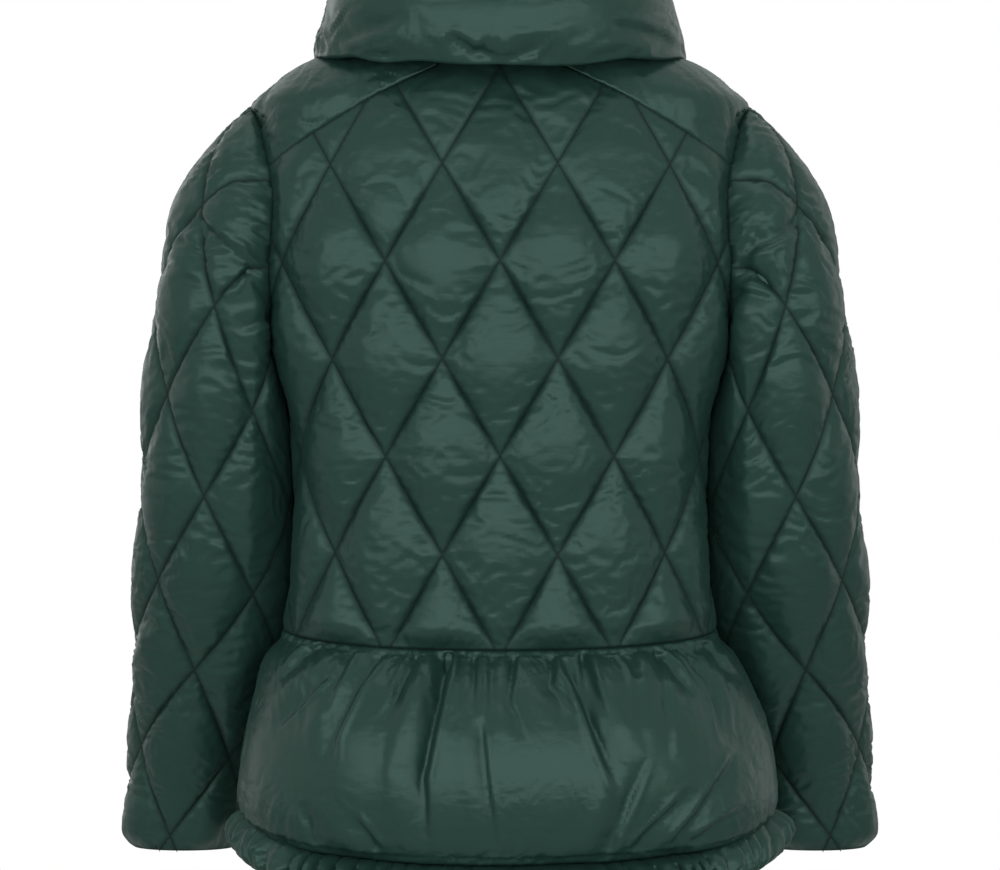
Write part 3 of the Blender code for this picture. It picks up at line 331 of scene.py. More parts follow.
def frontOutline():
    # arc lengths from the centre front
    gap = cut["seamGap"] / 2

    def fromFront(arc, z):
        return float(bodyForm.girth(z)) - arc
    points = []
    for z in spread(cut["waist"] + gap, cut["underarm"], 14):
        points.append((fromFront(bodyForm.sideArc(z) + 0.4 * mm, z), z))
    low = cut["underarm"] + 6 * mm
    for z in spread(low, yokeSeamFront[-1][1] * mm - gap, 12):
        depth = -max(armholeHalfDepth(z) + 0.3 * mm, 4 * mm)
        points.append((fromFront(bodyForm.arcAtY(depth, z), z), z))
    for x, z in yokeSeamFront[-2::-1]:
        arc = bodyForm.arcAtX(x * mm, z * mm, False) + gap
        points.append((fromFront(arc, z * mm), z * mm - gap))
    for x in spread(yokeSeamFront[0][0] * mm, cut["zipHalfWidth"], 6)[1:]:
        z = neckZ(x, False)
        points.append((fromFront(bodyForm.arcAtX(x, z, False), z), z))
    for z in spread(points[-1][1], cut["waist"] + gap, 14)[1:]:
        points.append((cut["zipHalfWidth"], z))
    return points


def placeFront(arc, z):
    return bodyForm.place(np.copysign(bodyForm.girth(z) - np.abs(arc), arc), z)


def underSleeve(points):
    # thin where the sleeve hangs against the body
    squash = 0.15 + 0.85 * smoothstep(np.abs(points[:, 1]) / (75 * mm))
    upper = 0.4 + 0.6 * smoothstep((-0.105 - points[:, 2]) / 0.075)     # flat below the neck
    return np.where(points[:, 2] > cut["underarm"] + 60 * mm, upper, squash)


class SleeveForm:
    # rings of the left sleeve, read by cloth length round and down it
    def __init__(self):
        rows = np.array(sleeveSections, float)
        self.columns = [smoothCurve(np.arange(len(rows)), rows[:, c]) for c in range(6)]
        self.thetas = np.linspace(-math.pi, math.pi * 2, 541)
        self.levels = np.linspace(0, len(rows) - 1, 241)
        outerX, outerZ, innerX, innerZ, depth, centreY = (
            column(np.maximum(self.levels, 1.0))[:, None] * mm for column in self.columns)
        sine, cosine = np.sin(self.thetas)[None], np.cos(self.thetas)[None]
        spots = np.stack([(outerX + innerX) / 2 + (outerX - innerX) / 2 * sine,
                          centreY + depth * cosine,
                          (outerZ + innerZ) / 2 + (outerZ - innerZ) / 2 * sine], -1)
        seam = np.array([self.armholePoint(theta) for theta in self.thetas])
        share = np.clip(self.levels, 0, 1)[:, None, None]
        self.spots = seam[None] * (1 - share) + spots * share
        steps = np.linalg.norm(np.diff(self.spots, axis=0), axis=-1)
        lengths = np.concatenate([np.zeros((1, len(self.thetas))), np.cumsum(steps, axis=0)])
        biceps = np.searchsorted(self.levels, 6.0)
        self.lengths = lengths - lengths[biceps]
        around = np.linalg.norm(np.diff(self.spots, axis=1), axis=-1)
        turn = np.searchsorted(self.thetas, math.pi)
        girths = around[:, :turn].sum(axis=1)
        back = self.lengths[:, np.argmin(np.abs(self.thetas))]
        self.girths = (back[biceps:], girths[biceps:])

    def armholePoint(self, theta):
        share = (1 - math.sin(theta)) / 2
        z = cut["shoulderTip"] + (cut["underarm"] - cut["shoulderTip"]) * share
        xs, ys, s = bodyForm.ring(z)
        depth = armholeHalfDepth(z) * (1 if math.cos(theta) >= 0 else -1)
        clear = (6.8 * share ** 3 - 0.8) * mm       # tucked under the yoke at the top
        return float(np.interp(-depth, -ys, xs)) + clear, depth, z

    def girth(self, length):
        return np.interp(length, *self.girths)

    def line(self, theta):
        c = (theta - self.thetas[0]) / (self.thetas[1] - self.thetas[0])
        k = min(int(c), len(self.thetas) - 2)
        return self.lengths[:, k] * (1 - c + k) + self.lengths[:, k + 1] * (c - k)

    def place(self, arc, length):
        theta = 2 * math.pi * arc / self.girth(length)
        c = (theta - self.thetas[0]) / (self.thetas[1] - self.thetas[0])
        c = np.clip(c, 0, len(self.thetas) - 1.001)
        k, share = c.astype(int), (c - c.astype(int))[:, None]
        found = np.zeros((len(arc), 3))
        for column in np.unique(k):
            here = k == column
            a, b = (np.stack([np.interp(length[here], self.lengths[:, c], self.spots[:, c, axis])
                              for axis in range(3)], -1) for c in (column, column + 1))
            found[here] = a * (1 - share[here]) + b * share[here]
        return found


sleeveForm = SleeveForm()


def sleeveOutline():
    edges = []
    first, last = sleeveForm.line(-math.pi / 2)[[0, -1]]
    for turn in (-0.25, 0.75):
        edges.append([(turn * float(sleeveForm.girth(length)), length)
                      for length in spread(first, last, 60)])
    cap, cuff = [], []
    for turn in spread(-0.25, 0.75, 73)[1:-1]:
        top, bottom = sleeveForm.line(2 * math.pi * turn)[[0, -1]]
        cap.append((turn * float(sleeveForm.girth(top)), top))
        cuff.append((turn * float(sleeveForm.girth(bottom)), bottom))
    return edges[0][::-1] + cap + edges[1] + cuff[::-1]


puff = {
    "roundness": 0.52,      # lower is fuller, with deeper seams
    "frames": 20,
    "cloth": {
        "quality": 5,
        "mass": 0.15,
        "tension_stiffness": 15,
        "compression_stiffness": 15,
        "shear_stiffness": 5,
        "bending_stiffness": 0.25,
        "air_damping": 1.0,
        "shrink_min": -0.012,       # the cloth is this much larger than the surface
        "shrink_max": -0.012,
        "use_pressure": True,
        "uniform_pressure_force": 2.5,
        "vertex_group_pressure": "press",
        "vertex_group_mass": "sewn",
        "pin_stiffness": 1.0,
    },
}


def addObject(name, data):
    thing = bpy.data.objects.new(name, data)
    bpy.context.scene.collection.objects.link(thing)
    return thing


def makeMesh(name, points, faces=(), smooth=True, edges=()):
    mesh = bpy.data.meshes.new(name)
    mesh.from_pydata(*([tuple(row) for row in np.asarray(rows).tolist()]
                       for rows in (points, edges, faces)))
    mesh.update()
    mesh.polygons.foreach_set("use_smooth", [smooth] * len(mesh.polygons))
    return addObject(name, mesh)


def weigh(thing, name, weights):
    group = thing.vertex_groups.new(name=name)
    levels = np.round(np.clip(weights, 0, 1) * 20).astype(int)
    for level in np.unique(levels):
        group.add(np.nonzero(levels == level)[0].tolist(), level / 20, "REPLACE")


def addCloth(thing, pinned, press):
    weigh(thing, "sewn", pinned)
    weigh(thing, "press", press)
    cloth = thing.modifiers.new("puff", "CLOTH")
    for key, value in puff["cloth"].items():
        setattr(cloth.settings, key, value)
    cloth.settings.effector_weights.gravity = 0.0
    cloth.collision_settings.use_collision = False
    cloth.collision_settings.use_self_collision = False
    cloth.point_cache.frame_start, cloth.point_cache.frame_end = 1, puff["frames"]


def meshPoints(thing):
    depsgraph = bpy.context.evaluated_depsgraph_get()
    mesh = thing.evaluated_get(depsgraph).data
    points = np.zeros(len(mesh.vertices) * 3)
    mesh.vertices.foreach_get("co", points)
    return points.reshape(-1, 3)


def vertexNormals(points, faces):
    normals = np.zeros_like(points)
    a, b, c = (points[faces[:, k]] for k in range(3))
    across = np.cross(b - a, c - a)
    for k in range(3):
        np.add.at(normals, faces[:, k], across)
    return unit(normals)


def faceOutwards(points, faces, away):
    a, b, c = (points[faces[:, k]] for k in range(3))
    middle = (a + b + c) / 3
    if np.sum(np.cross(b - a, c - a) * away(middle)) < 0:
        return faces[:, ::-1]
    return faces


def faceEdges(faces):
    return np.concatenate([faces[:, [0, 1]], faces[:, [1, 2]], faces[:, [2, 0]]])


def borderLoop(faces):
    # edges that one face alone uses, in that face's direction
    edges = faceEdges(faces)
    key = edges.min(1).astype(np.int64) * (faces.max() + 1) + edges.max(1)
    order, counts = np.unique(key, return_counts=True)
    return edges[np.isin(key, order[counts == 1])]


wrinkle = {
    "depth": 2.5 * mm,
    "width": 7 * mm,
    "length": 34 * mm,
    "sway": 0.6,            # how far the wrinkles turn from level, in radians
    "reach": 17 * mm,       # they start at the seams and fade out over this
}


def noiseAt(x, y, z=0.0):
    return np.array([noise(Vector((a, b, z))) for a, b in zip(x, y)])


def wrinkles(flat, near, seed, size=wrinkle):
    # long soft creases, more of them near the seams and in patches
    x, y = flat[:, 0], flat[:, 1]
    turn = size["sway"] * 1.6 * noiseAt(x / (60 * mm), y / (60 * mm), seed)
    along = x * np.cos(turn) + y * np.sin(turn)
    across = y * np.cos(turn) - x * np.sin(turn)
    wide = noiseAt(along / size["length"], across / size["width"], seed + 3.7)
    fine = noiseAt(along / (0.5 * size["length"]), across / (0.45 * size["width"]), seed + 9.1)
    patches = smoothstep(0.5 + 1.6 * noiseAt(x / (38 * mm), y / (38 * mm), seed + 5.3))
    crease = 0.3 - np.abs(wide) ** 0.8 - 0.4 * np.abs(fine)
    fade = 0.2 + 1.6 * np.exp(-near / size["reach"])
    return size["depth"] * crease * (0.25 + 0.75 * patches) * fade


carving = {
    "start": [0.12],        # share of a line over which it deepens
    "end": 0.4,             # and over which it fades out
    "round": 1.2,           # radius of the trough's bottom in mm
    "lean": 0.5,            # how much wider its gentle side is
    "ridge": 0.28,          # height of the cloth pushed up beside it
}


def carve(points, normals, folds, facing):
    # troughs along lines, seen from behind (1) or in front (-1); a fold is its depth and half
    # width, its line as x and height (all in mm), and the share of it that it takes to deepen
    depth = np.zeros(len(points))
    seen = smoothstep(normals[:, 1] * facing / 0.3)
    flat = points[:, [0, 2]] / mm
    for number, (deep, half, line, *start) in enumerate(folds):
        line = np.array(line, float)
        lean = -1 if number % 3 == 1 else 1                     # which side of the line is steep
        sizes = np.hypot(*np.diff(line, axis=0).T)
        starts = np.concatenate(([0], np.cumsum(sizes))) / sizes.sum()
        best, share, side = np.full(len(flat), 1e9), np.zeros(len(flat)), np.ones(len(flat))
        for a, b, first, last in zip(line, line[1:], starts, starts[1:]):
            along = b - a
            t = np.clip((flat - a) @ along / (along @ along), 0, 1)
            distance = np.hypot(*(a + t[:, None] * along - flat).T)
            closer = distance < best
            best = np.where(closer, distance, best)
            share = np.where(closer, first + (last - first) * t, share)
            beside = along[0] * (flat[:, 1] - a[1]) - along[1] * (flat[:, 0] - a[0])
            side = np.where(closer, beside / (np.hypot(*along) * half), side)
        taper = np.minimum(share / (start or carving["start"])[0], 1) ** 0.7
        taper *= np.minimum((1 - share) / carving["end"], 1) ** 0.8
        rounded = np.sqrt(best ** 2 + carving["round"] ** 2) - carving["round"]
        u = rounded / (half * (0.95 + carving["lean"] * np.tanh(4 * lean * side)))
        trough = np.maximum(1 - u, 0) ** 1.4
        ridge = np.exp(-((u - 1.5) / 0.55) ** 2) * carving["ridge"]
        depth += deep * mm * taper * (ridge - trough)
    return depth * seen


softPieces = []
farFromSeams = 0.02


def addPanel(name, faces, outer, pinned, press, sewn, near, **more):
    thing = makeMesh(name, outer, faces)
    addCloth(thing, pinned, press)
    softPieces.append({
        "thing": thing, "faces": faces, "outer": outer, "normals": vertexNormals(outer, faces),
        "sewn": sewn, "near": near, **more,
    })


def startQuilted(name, outline, diamond, place, away, height, squash, edgeEase, fit, folds=(),
                 size=wrinkle, gathers=None):
    flat, faces, border = layGrid(outline, diamond, quilt["steps"], quilt["edgeStep"])
    spots = place(flat[:, 0], flat[:, 1])
    faces = faceOutwards(spots, faces, away)
    normals = vertexNormals(spots, faces)
    seams = lineDistance(flat, diamond)
    rim = edgeDistance(border, flat)
    sewn = seams < quilt["onLine"]
    thin = squash(spots)
    full = nearestFill(flat, diamond) ** puff["roundness"] * smoothstep(rim / edgeEase) ** 0.7
    near = np.minimum(seams, rim)
    creased = wrinkles(flat, near, len(softPieces) * 11.0, size) * (0.4 + 0.6 * thin)
    if gathers:
        creased = creased + gathers(flat)
    creased = creased * smoothstep(near / (4 * mm))
    rise = height * thin * full + creased
    if folds:
        rise = rise + carve(spots, normals, folds, 1)
    outer = fit(spots + normals * (cut["seamWall"] + rise)[:, None])
    innerFlat, innerFaces, _ = layGrid(outline, diamond, quilt["innerSteps"], quilt["edgeStep"])
    inner = fit(place(innerFlat[:, 0], innerFlat[:, 1]), cut["seamWall"])
    addPanel(name, faces, outer, sewn | (rim < 0.1 * mm), thin, sewn, near,
             cap=np.maximum(0.35 * height * thin, 0.4 * mm), flat=flat, diamond=diamond,
             inner=inner, innerFlat=innerFlat, innerFaces=faceOutwards(inner, innerFaces, away))


def finishSoft():
    scene = bpy.context.scene
    for frameNumber in range(1, puff["frames"] + 1):
        scene.frame_set(frameNumber)
    for panel in softPieces:
        thing = panel["thing"]
        moved = meshPoints(thing) - panel["outer"]
        height = np.sum(moved * panel["normals"], axis=1)
        rise = round(height.max() / mm, 1)
        print(thing.name, len(panel["outer"]), "points, highest rise", rise, "mm")
        held = panel["cap"] * np.tanh(height / panel["cap"])
        points = panel["outer"] + moved + panel["normals"] * (held - height)[:, None]
        panel["points"] = points
        thing.modifiers.clear()
        thing.vertex_groups.clear()
        closeShell(thing, points, panel)
    scene.frame_set(1)


def flatKeys(flat):
    return [tuple(spot) for spot in np.round(flat / mm, 3).tolist()]


def closeShell(thing, points, panel):
    # the inner skin follows the form with larger faces, sewn to the outer one at the rim
    faces, count = panel["faces"], len(points)
    innerAt = {key: k + count for k, key in enumerate(flatKeys(panel["innerFlat"]))}
    under = {k: innerAt[key] for k, key in enumerate(flatKeys(panel["flat"])) if key in innerAt}
    walls = [(b, a, under[a], under[b]) for a, b in borderLoop(faces).tolist()]
    shell = faces.tolist() + (panel["innerFaces"][:, ::-1] + count).tolist() + walls
    thing.data.clear_geometry()
    thing.data.from_pydata(np.concatenate([points, panel["inner"]]).tolist(), [], shell)
    thing.data.update()
    thing.data.polygons.foreach_set("use_smooth", [True] * len(thing.data.polygons))
    sewn = np.zeros(count + len(panel["inner"]), bool)
    sewn[:count] = panel["sewn"]
    ends = np.zeros(len(thing.data.edges) * 2, int)
    thing.data.edges.foreach_get("vertices", ends)
    thing.data.edges.foreach_set("use_edge_sharp", sewn[ends].reshape(-1, 2).all(axis=1))
    # this distance from the seams drives the painted seam shade and the rougher seam band in the
    # cloth's material
    distance = thing.data.attributes.new("seamDistance", "FLOAT", "POINT")
    inside = np.full(len(panel["inner"]), farFromSeams)
    distance.data.foreach_set("value", np.concatenate([panel["near"], inside]))


def bodyAway(points):
    return np.stack([points[:, 0], points[:, 1], points[:, 2] * 0 + 0.02], -1)


def sleeveAway(side):
    levels = [(-(row[1] + row[3]) / 2) for row in sleeveSections]

    def away(points):
        level = np.interp(-points[:, 2] / mm, levels, range(len(levels)))
        outerX, outerZ, innerX, innerZ, depth, centreY = (
            column(level) * mm for column in sleeveForm.columns)
        return np.stack([points[:, 0] - side * (outerX + innerX) / 2, points[:, 1] - centreY,
                         0.3 * (points[:, 2] - (outerZ + innerZ) / 2)], -1)
    return away


def againstBody(side):
    def squash(points):
        reach = sleeveAway(side)(points)
        inward = -side * reach[:, 0] / np.maximum(np.hypot(reach[:, 0], reach[:, 1]), 1e-6)
        cap = smoothstep((points[:, 2] + 0.15) / 0.07) * smoothstep(side * reach[:, 0] / 0.02)
        return (1.0 - 0.85 * smoothstep((inward - 0.35) / 0.45)) * (1 - 0.5 * cap)
    return squash


def placeSleeve(side):
    def place(arc, length):
        spots = sleeveForm.place(arc, length)
        return spots * np.array([side, 1, 1])
    return place


def besideBody(side):
    # pressed flat where the sleeve meets the body
    def fit(points, wall=0.0):
        z = np.clip(points[:, 2], cut["waist"], cut["underarm"] + 20 * mm) / mm
        depth = np.where(points[:, 1] > 0, bodyForm.back(z), bodyForm.front(z)) * mm
        square = bodyForm.square(z)
        share = np.clip(1 - (np.abs(points[:, 1]) / depth) ** square, 0, 1) ** (1 / square)
        least = bodyForm.width(z) * mm * share + cut["seamWall"] + 2.4 * mm + wall
        below = (smoothstep((cut["underarm"] - points[:, 2]) / (25 * mm))
                 * smoothstep((points[:, 2] - cut["waist"]) / (30 * mm)))
        x = points[:, 0] * side
        x = side * (x + np.maximum(least - x, 0) * below)
        return np.stack([x, points[:, 1], points[:, 2]], -1)
    return fit


# break folds behind the armpits
breakFolds = {
    "Left": [
        (5, 10, [(248, -152), (228, -172), (201, -198)]),
        (5, 9, [(200, -196), (212, -212), (225, -221)]),
        (3, 6, [(255, -171), (233, -192)]),
        (3, 8, [(190, -232), (214, -246)]),
    ],
    "Right": [
        (5, 10, [(-246, -150), (-232, -165), (-206, -180), (-192, -197)]),
        (4, 7, [(-192, -199), (-214, -205), (-224, -216)]),
        (3, 6, [(-190, -212), (-222, -222)]),
        (2, 6, [(-232, -214), (-250, -218)]),
    ],
}
sleeveWrinkle = {
    "depth": 2.8 * mm, "width": 9 * mm, "length": 36 * mm, "sway": 0.9, "reach": 22 * mm,
}


def cuffGathers(flat):
    turns = np.linspace(-0.3, 0.8, 111)
    ends = [float(sleeveForm.line(2 * math.pi * turn)[-1]) for turn in turns]
    arcs = [turn * float(sleeveForm.girth(end)) for turn, end in zip(turns, ends)]
    above = np.interp(flat[:, 0], arcs, ends) - flat[:, 1]
    waves = noiseAt(flat[:, 0] / (9 * mm), flat[:, 1] / (70 * mm), 33.0)
    return 3.4 * mm * (0.3 - np.abs(waves) * 1.6) * np.exp(-np.maximum(above, 0) / (15 * mm))


startQuilted("quiltedBack", backOutline(), quilt["bodyDiamond"], bodyForm.place, bodyAway,
             quilt["bodyRise"], underSleeve, quilt["bodyEase"], settle)
for sideName, side in (("Left", 1.0), ("Right", -1.0)):
    startQuilted("quiltedFront" + sideName, [(side * s, z) for s, z in frontOutline()],
                 quilt["bodyDiamond"], placeFront, bodyAway, quilt["bodyRise"], underSleeve,
                 quilt["bodyEase"], settle)
    startQuilted("quiltedSleeve" + sideName, sleeveOutline(), quilt["sleeveDiamond"],
                 placeSleeve(side), sleeveAway(side), quilt["sleeveRise"], againstBody(side),
                 quilt["sleeveEase"], besideBody(side), breakFolds[sideName], sleeveWrinkle,
                 cuffGathers)
print("quilted panels laid out")


def startGrid(name, inner, outer, pinned, press, cap):
    # inner and outer are grids of points with the same rows and columns
    rows, columns = outer.shape[:2]
    k = np.arange(rows * columns).reshape(rows, columns)
    a, b, c, d = k[:-1, :-1].ravel(), k[:-1, 1:].ravel(), k[1:, 1:].ravel(), k[1:, :-1].ravel()
    even = (np.indices((rows - 1, columns - 1)).sum(axis=0) % 2 == 0).ravel()
    faces = np.concatenate([np.stack([a, b, c], -1)[even], np.stack([a, c, d], -1)[even],
                            np.stack([a, b, d], -1)[~even], np.stack([b, c, d], -1)[~even]])
    points, under = outer.reshape(-1, 3), inner.reshape(-1, 3)
    out = points - under
    faces = faceOutwards(points, faces, lambda middle: out[faces].mean(axis=1))
    count = len(points)
    flat = np.stack([np.arange(count) * mm, np.zeros(count)], -1)
    addPanel(name, faces, points, pinned.ravel(), press.ravel(), np.zeros(count, bool),
             np.full(count, farFromSeams), cap=np.full(count, cap), flat=flat,
             inner=under, innerFlat=flat, innerFaces=faces)


def gridNormals(grid, away):
    across = np.gradient(grid, axis=1)
    down = np.gradient(grid, axis=0)
    normals = unit(np.cross(across, down))
    return normals * np.where(np.sum(normals * away, axis=-1, keepdims=True) < 0, -1, 1)


yokeShape = {
    "smoothing": 6,
    "puff": 7 * mm,
    "across": 130 * mm,
    "along": 120 * mm,
    "rows": 84,
    "columns": 62,
}
ridgeLevels = np.linspace(0, cut["shoulderTip"] / mm, 241)
shoulderLine = (bodyForm.width(ridgeLevels), ridgeLevels)


def bodyDepth(x, z, behind):
    # y of the body's form at an x and a height
    width, square = float(bodyForm.width(z / mm)) * mm, float(bodyForm.square(z / mm))
    depth = float(bodyForm.back(z / mm)) * mm if behind else -float(bodyForm.front(z / mm)) * mm
    return depth * max(1 - (x / width) ** square, 0.0) ** (1 / square)


def yokeEdge(share, behind):
    # x of the neck end and of the armhole end of a yoke's row
    table = yokeSeamBack if behind else yokeSeamFront
    bend = abs(share) ** 1.3
    near = cut["neckHalfWidth"] + (table[0][0] * mm - cut["neckHalfWidth"]) * bend
    tip = 204 * mm - cut["seamGap"]
    return near, tip + (table[-1][0] * mm - tip) * bend


def yokeSpot(x, share):
    behind = share < 0
    gap = cut["seamGap"] / 2
    ridge = float(np.interp(x / mm, *shoulderLine)) * mm
    table = yokeSeamBack if behind else yokeSeamFront
    seam = neckZ(x, behind) if x / mm < table[0][0] else yokeSeamZ(x, behind) + gap
    z = min(seam + (ridge - seam) * math.cos(abs(share) * math.pi / 2), ridge - 0.01 * mm)
    return x, bodyDepth(x, z, behind), z


def armholeSpot(z, share):
    xs, ys, s = bodyForm.ring(z)
    depth = float(armholeHalfDepth(z)) * (1 if share < 0 else -1)
    return float(np.interp(-depth, -ys, xs)) - 0.1 * mm, depth, z


def startYoke(name, side, seed):
    rows, columns = yokeShape["rows"], yokeShape["columns"]
    steps = np.linspace(0, 1, columns)
    fine = np.sin(np.linspace(-1, 1, 601) * math.pi / 2) ** 3    # close rows at the shoulder line
    ends = [yokeEdge(share, share < 0) for share in fine]
    grid, shares = np.zeros((rows, columns, 3)), np.linspace(-1, 1, rows)
    for c, step in enumerate(steps):
        line = np.array([yokeSpot(near + (far - near) * step, share)
                         for share, (near, far) in zip(fine, ends)])
        length = runningLength(line)
        for axis in range(3):
            grid[:, c, axis] = np.interp(np.linspace(0, length[-1], rows), length, line[:, axis])
    ends = np.array([armholeSpot(z, -y) for y, z in grid[:, -1, 1:]])
    grid += (ends - grid[:, -1])[:, None] * smoothstep((steps - 0.55) / 0.45)[None, :, None]
    grid = grid * np.array([side, 1, 1])
    normals = gridNormals(grid, grid * np.array([0, 0.3, 0]) + np.array([0, 0, 0.1]))
    for _ in range(yokeShape["smoothing"]):
        normals[1:-1] = unit(normals[:-2] + 2 * normals[1:-1] + normals[2:])
        grid[2:-2, 2:-1] = (grid[1:-3, 2:-1] + 2 * grid[2:-2, 2:-1] + grid[3:-1, 2:-1]) / 4
    calm = smoothstep((steps - 0.86) / 0.14)[None, :, None]     # the end faces up more than out
    less = np.array([side * 0.55, 0, -0.1]) * np.maximum(normals[..., :1] * side, 0)
    normals = unit(normals - calm * less)
    across = np.minimum(steps, (1 - steps) * 0.55)[None, :] * yokeShape["across"]
    along = (1 - np.abs(shares))[:, None] * yokeShape["along"]
    rim = np.minimum(across, along)
    full = smoothstep(across / (26 * mm)) ** 0.6 * smoothstep(along / (34 * mm)) ** 0.6
    down = np.cumsum(np.full(grid.shape[:2], yokeShape["along"] / rows), axis=0)
    flat = np.stack([grid[..., 0].ravel(), -down.ravel()], -1)
    creased = wrinkles(flat, rim.ravel(), seed).reshape(rim.shape) * smoothstep(rim / (4 * mm))
    outer = grid + normals * (cut["seamWall"] + yokeShape["puff"] * full + 0.8 * creased)[..., None]
    startGrid(name, grid, outer, rim < 0.1 * mm, full, 3 * mm)


# outwards from the neck seam and up from it (mm): up the stand, over the fold, down the fall
collarShape = {
    "back": [(0, .8), (4, 12), (10, 30), (17, 46), (27, 57), (40, 58),
             (50, 49), (57, 33), (61, 14), (60, -8), (54, -28)],
    "side": [(0, .8), (3, 12), (8, 28), (14, 42), (23, 50), (34, 51),
             (42, 43), (49, 29), (54, 11), (61, -8), (67, -27)],
    "front": [(0, .8), (3, 14), (7, 34), (12, 54), (19, 68), (29, 70),
              (37, 60), (42, 42), (44, 22), (43, 4), (40, -8)],
    "full": [0.0, 0.3, 0.5, 0.6, 0.75, 0.85, 0.95, 0.95, 0.9, 0.8, 0.45],
    "puff": 17 * mm,
    "lift": 5 * mm,         # of everything above the neck seam
    "width": 155 * mm,      # of the cloth, from the seam over the fold to the edge
    "radius": 130 * mm,
    "wave": 3.52 * mm,      # of the fall's edge
    "rows": 74,
    "columns": 230,
}


def neckPoint(turn):
    behind = abs(turn) <= math.pi / 2
    x = cut["neckHalfWidth"] * abs(math.sin(turn))
    z = neckZ(x, behind)
    depth = 0.0 if x > 0.999 * cut["neckHalfWidth"] else bodyDepth(x, z, behind)
    return math.copysign(x, turn) if turn else 0.0, depth, z


def startCollar():
    rows, columns = collarShape["rows"], collarShape["columns"]
    steps = np.linspace(0, 10, rows)
    curves = {}
    for part in ("back", "side", "front"):
        columnsOfPart = zip(*collarShape[part])
        curves[part] = [smoothCurve(range(11), column)(steps) * mm for column in columnsOfPart]
    last = math.pi - math.asin(cut["zipHalfWidth"] / cut["neckHalfWidth"])
    turns = np.linspace(-last, last, columns)
    middle, thick = np.zeros((rows, columns, 3)), np.zeros((rows, columns))
    full = np.interp(steps, range(11), collarShape["full"])
    for c, turn in enumerate(turns):
        back, front = max(math.cos(turn), 0.0) ** 1.5, max(-math.cos(turn), 0.0) ** 1.5
        share = {"back": back, "front": front, "side": 1 - back - front}
        out = sum(share[part] * curves[part][0] for part in share)
        up = sum(share[part] * curves[part][1] for part in share)
        x, y, z = neckPoint(turn)
        middle[:, c] = np.stack([x + math.sin(turn) * out, y + math.cos(turn) * out,
                                 z + up + collarShape["lift"] * smoothstep(steps / 1.5)], -1)
        end = smoothstep(min(c, columns - 1 - c) / columns * 19)
        thick[:, c] = (collarShape["puff"] - cut["seamWall"]) * full * (0.25 + 0.75 * end)
    thick += cut["seamWall"]
    away = np.stack([np.sin(turns), np.cos(turns), 0 * turns], -1)[None] + np.zeros((rows, 1, 1))
    away = away * np.interp(steps, [0, 3.5, 4.5, 5.5, 10], [-1, -1, -1, 1, 1])[:, None, None]
    away[..., 2] += np.interp(steps, [0, 3, 4.5, 6, 10], [0, 0.3, 1.2, 0.3, 0])[:, None]
    normals = gridNormals(middle, away)
    length = steps / 10 * collarShape["width"]
    around = turns * collarShape["radius"]
    rim = np.minimum(np.minimum(length, length[-1] - length)[:, None],
                     np.minimum(around - around[0], around[-1] - around)[None, :])
    flat = np.stack(np.broadcast_arrays(around[None, :], -length[:, None]), -1).reshape(-1, 2)
    creased = wrinkles(flat, rim.ravel(), 71.0, collarCreases).reshape(rim.shape)
    waves = noiseAt(around / (42 * mm), around * 0, 4.4)[None, :]
    waves = waves * smoothstep((length - 0.118) / 0.03)[:, None]
    middle = middle + np.array([0, 0, collarShape["wave"]]) * waves[..., None]
    dents = carve(middle.reshape(-1, 3), normals.reshape(-1, 3), collarDents, 1).reshape(rim.shape)
    relief = (creased + dents) * smoothstep(rim / (6 * mm))
    outer = middle + normals * (thick / 2 + relief)[..., None]
    inner = middle - normals * (thick / 2)[..., None]
    press = 0.2 + 0.8 * smoothstep(rim / (20 * mm))
    startGrid("foldedCollar", inner, outer, rim < 0.1 * mm, press, 3.5 * mm)


collarDents = [
    (5, 9, [(40, -12), (22, -23), (-2, -31)]),
    (4, 6, [(-4, -32), (-26, -24), (-40, -12)]),
    (3, 5, [(-30, -30), (-46, -16)]),
    (3, 7, [(20, -30), (8, -14)]),
    (4, 11, [(124, -10), (90, -2), (70, 6)]),
    (3, 7, [(108, -28), (78, -24)]),
    (4, 9, [(-84, -2), (-124, -9), (-146, -22)]),
    (3, 6, [(-132, 14), (-146, -4)]),
    (2, 12, [(60, 12), (10, 17), (-30, 12)]),
]
collarCreases = {
    "depth": 3.4 * mm, "width": 20 * mm, "length": 60 * mm, "sway": 0.7, "reach": 34 * mm,
}

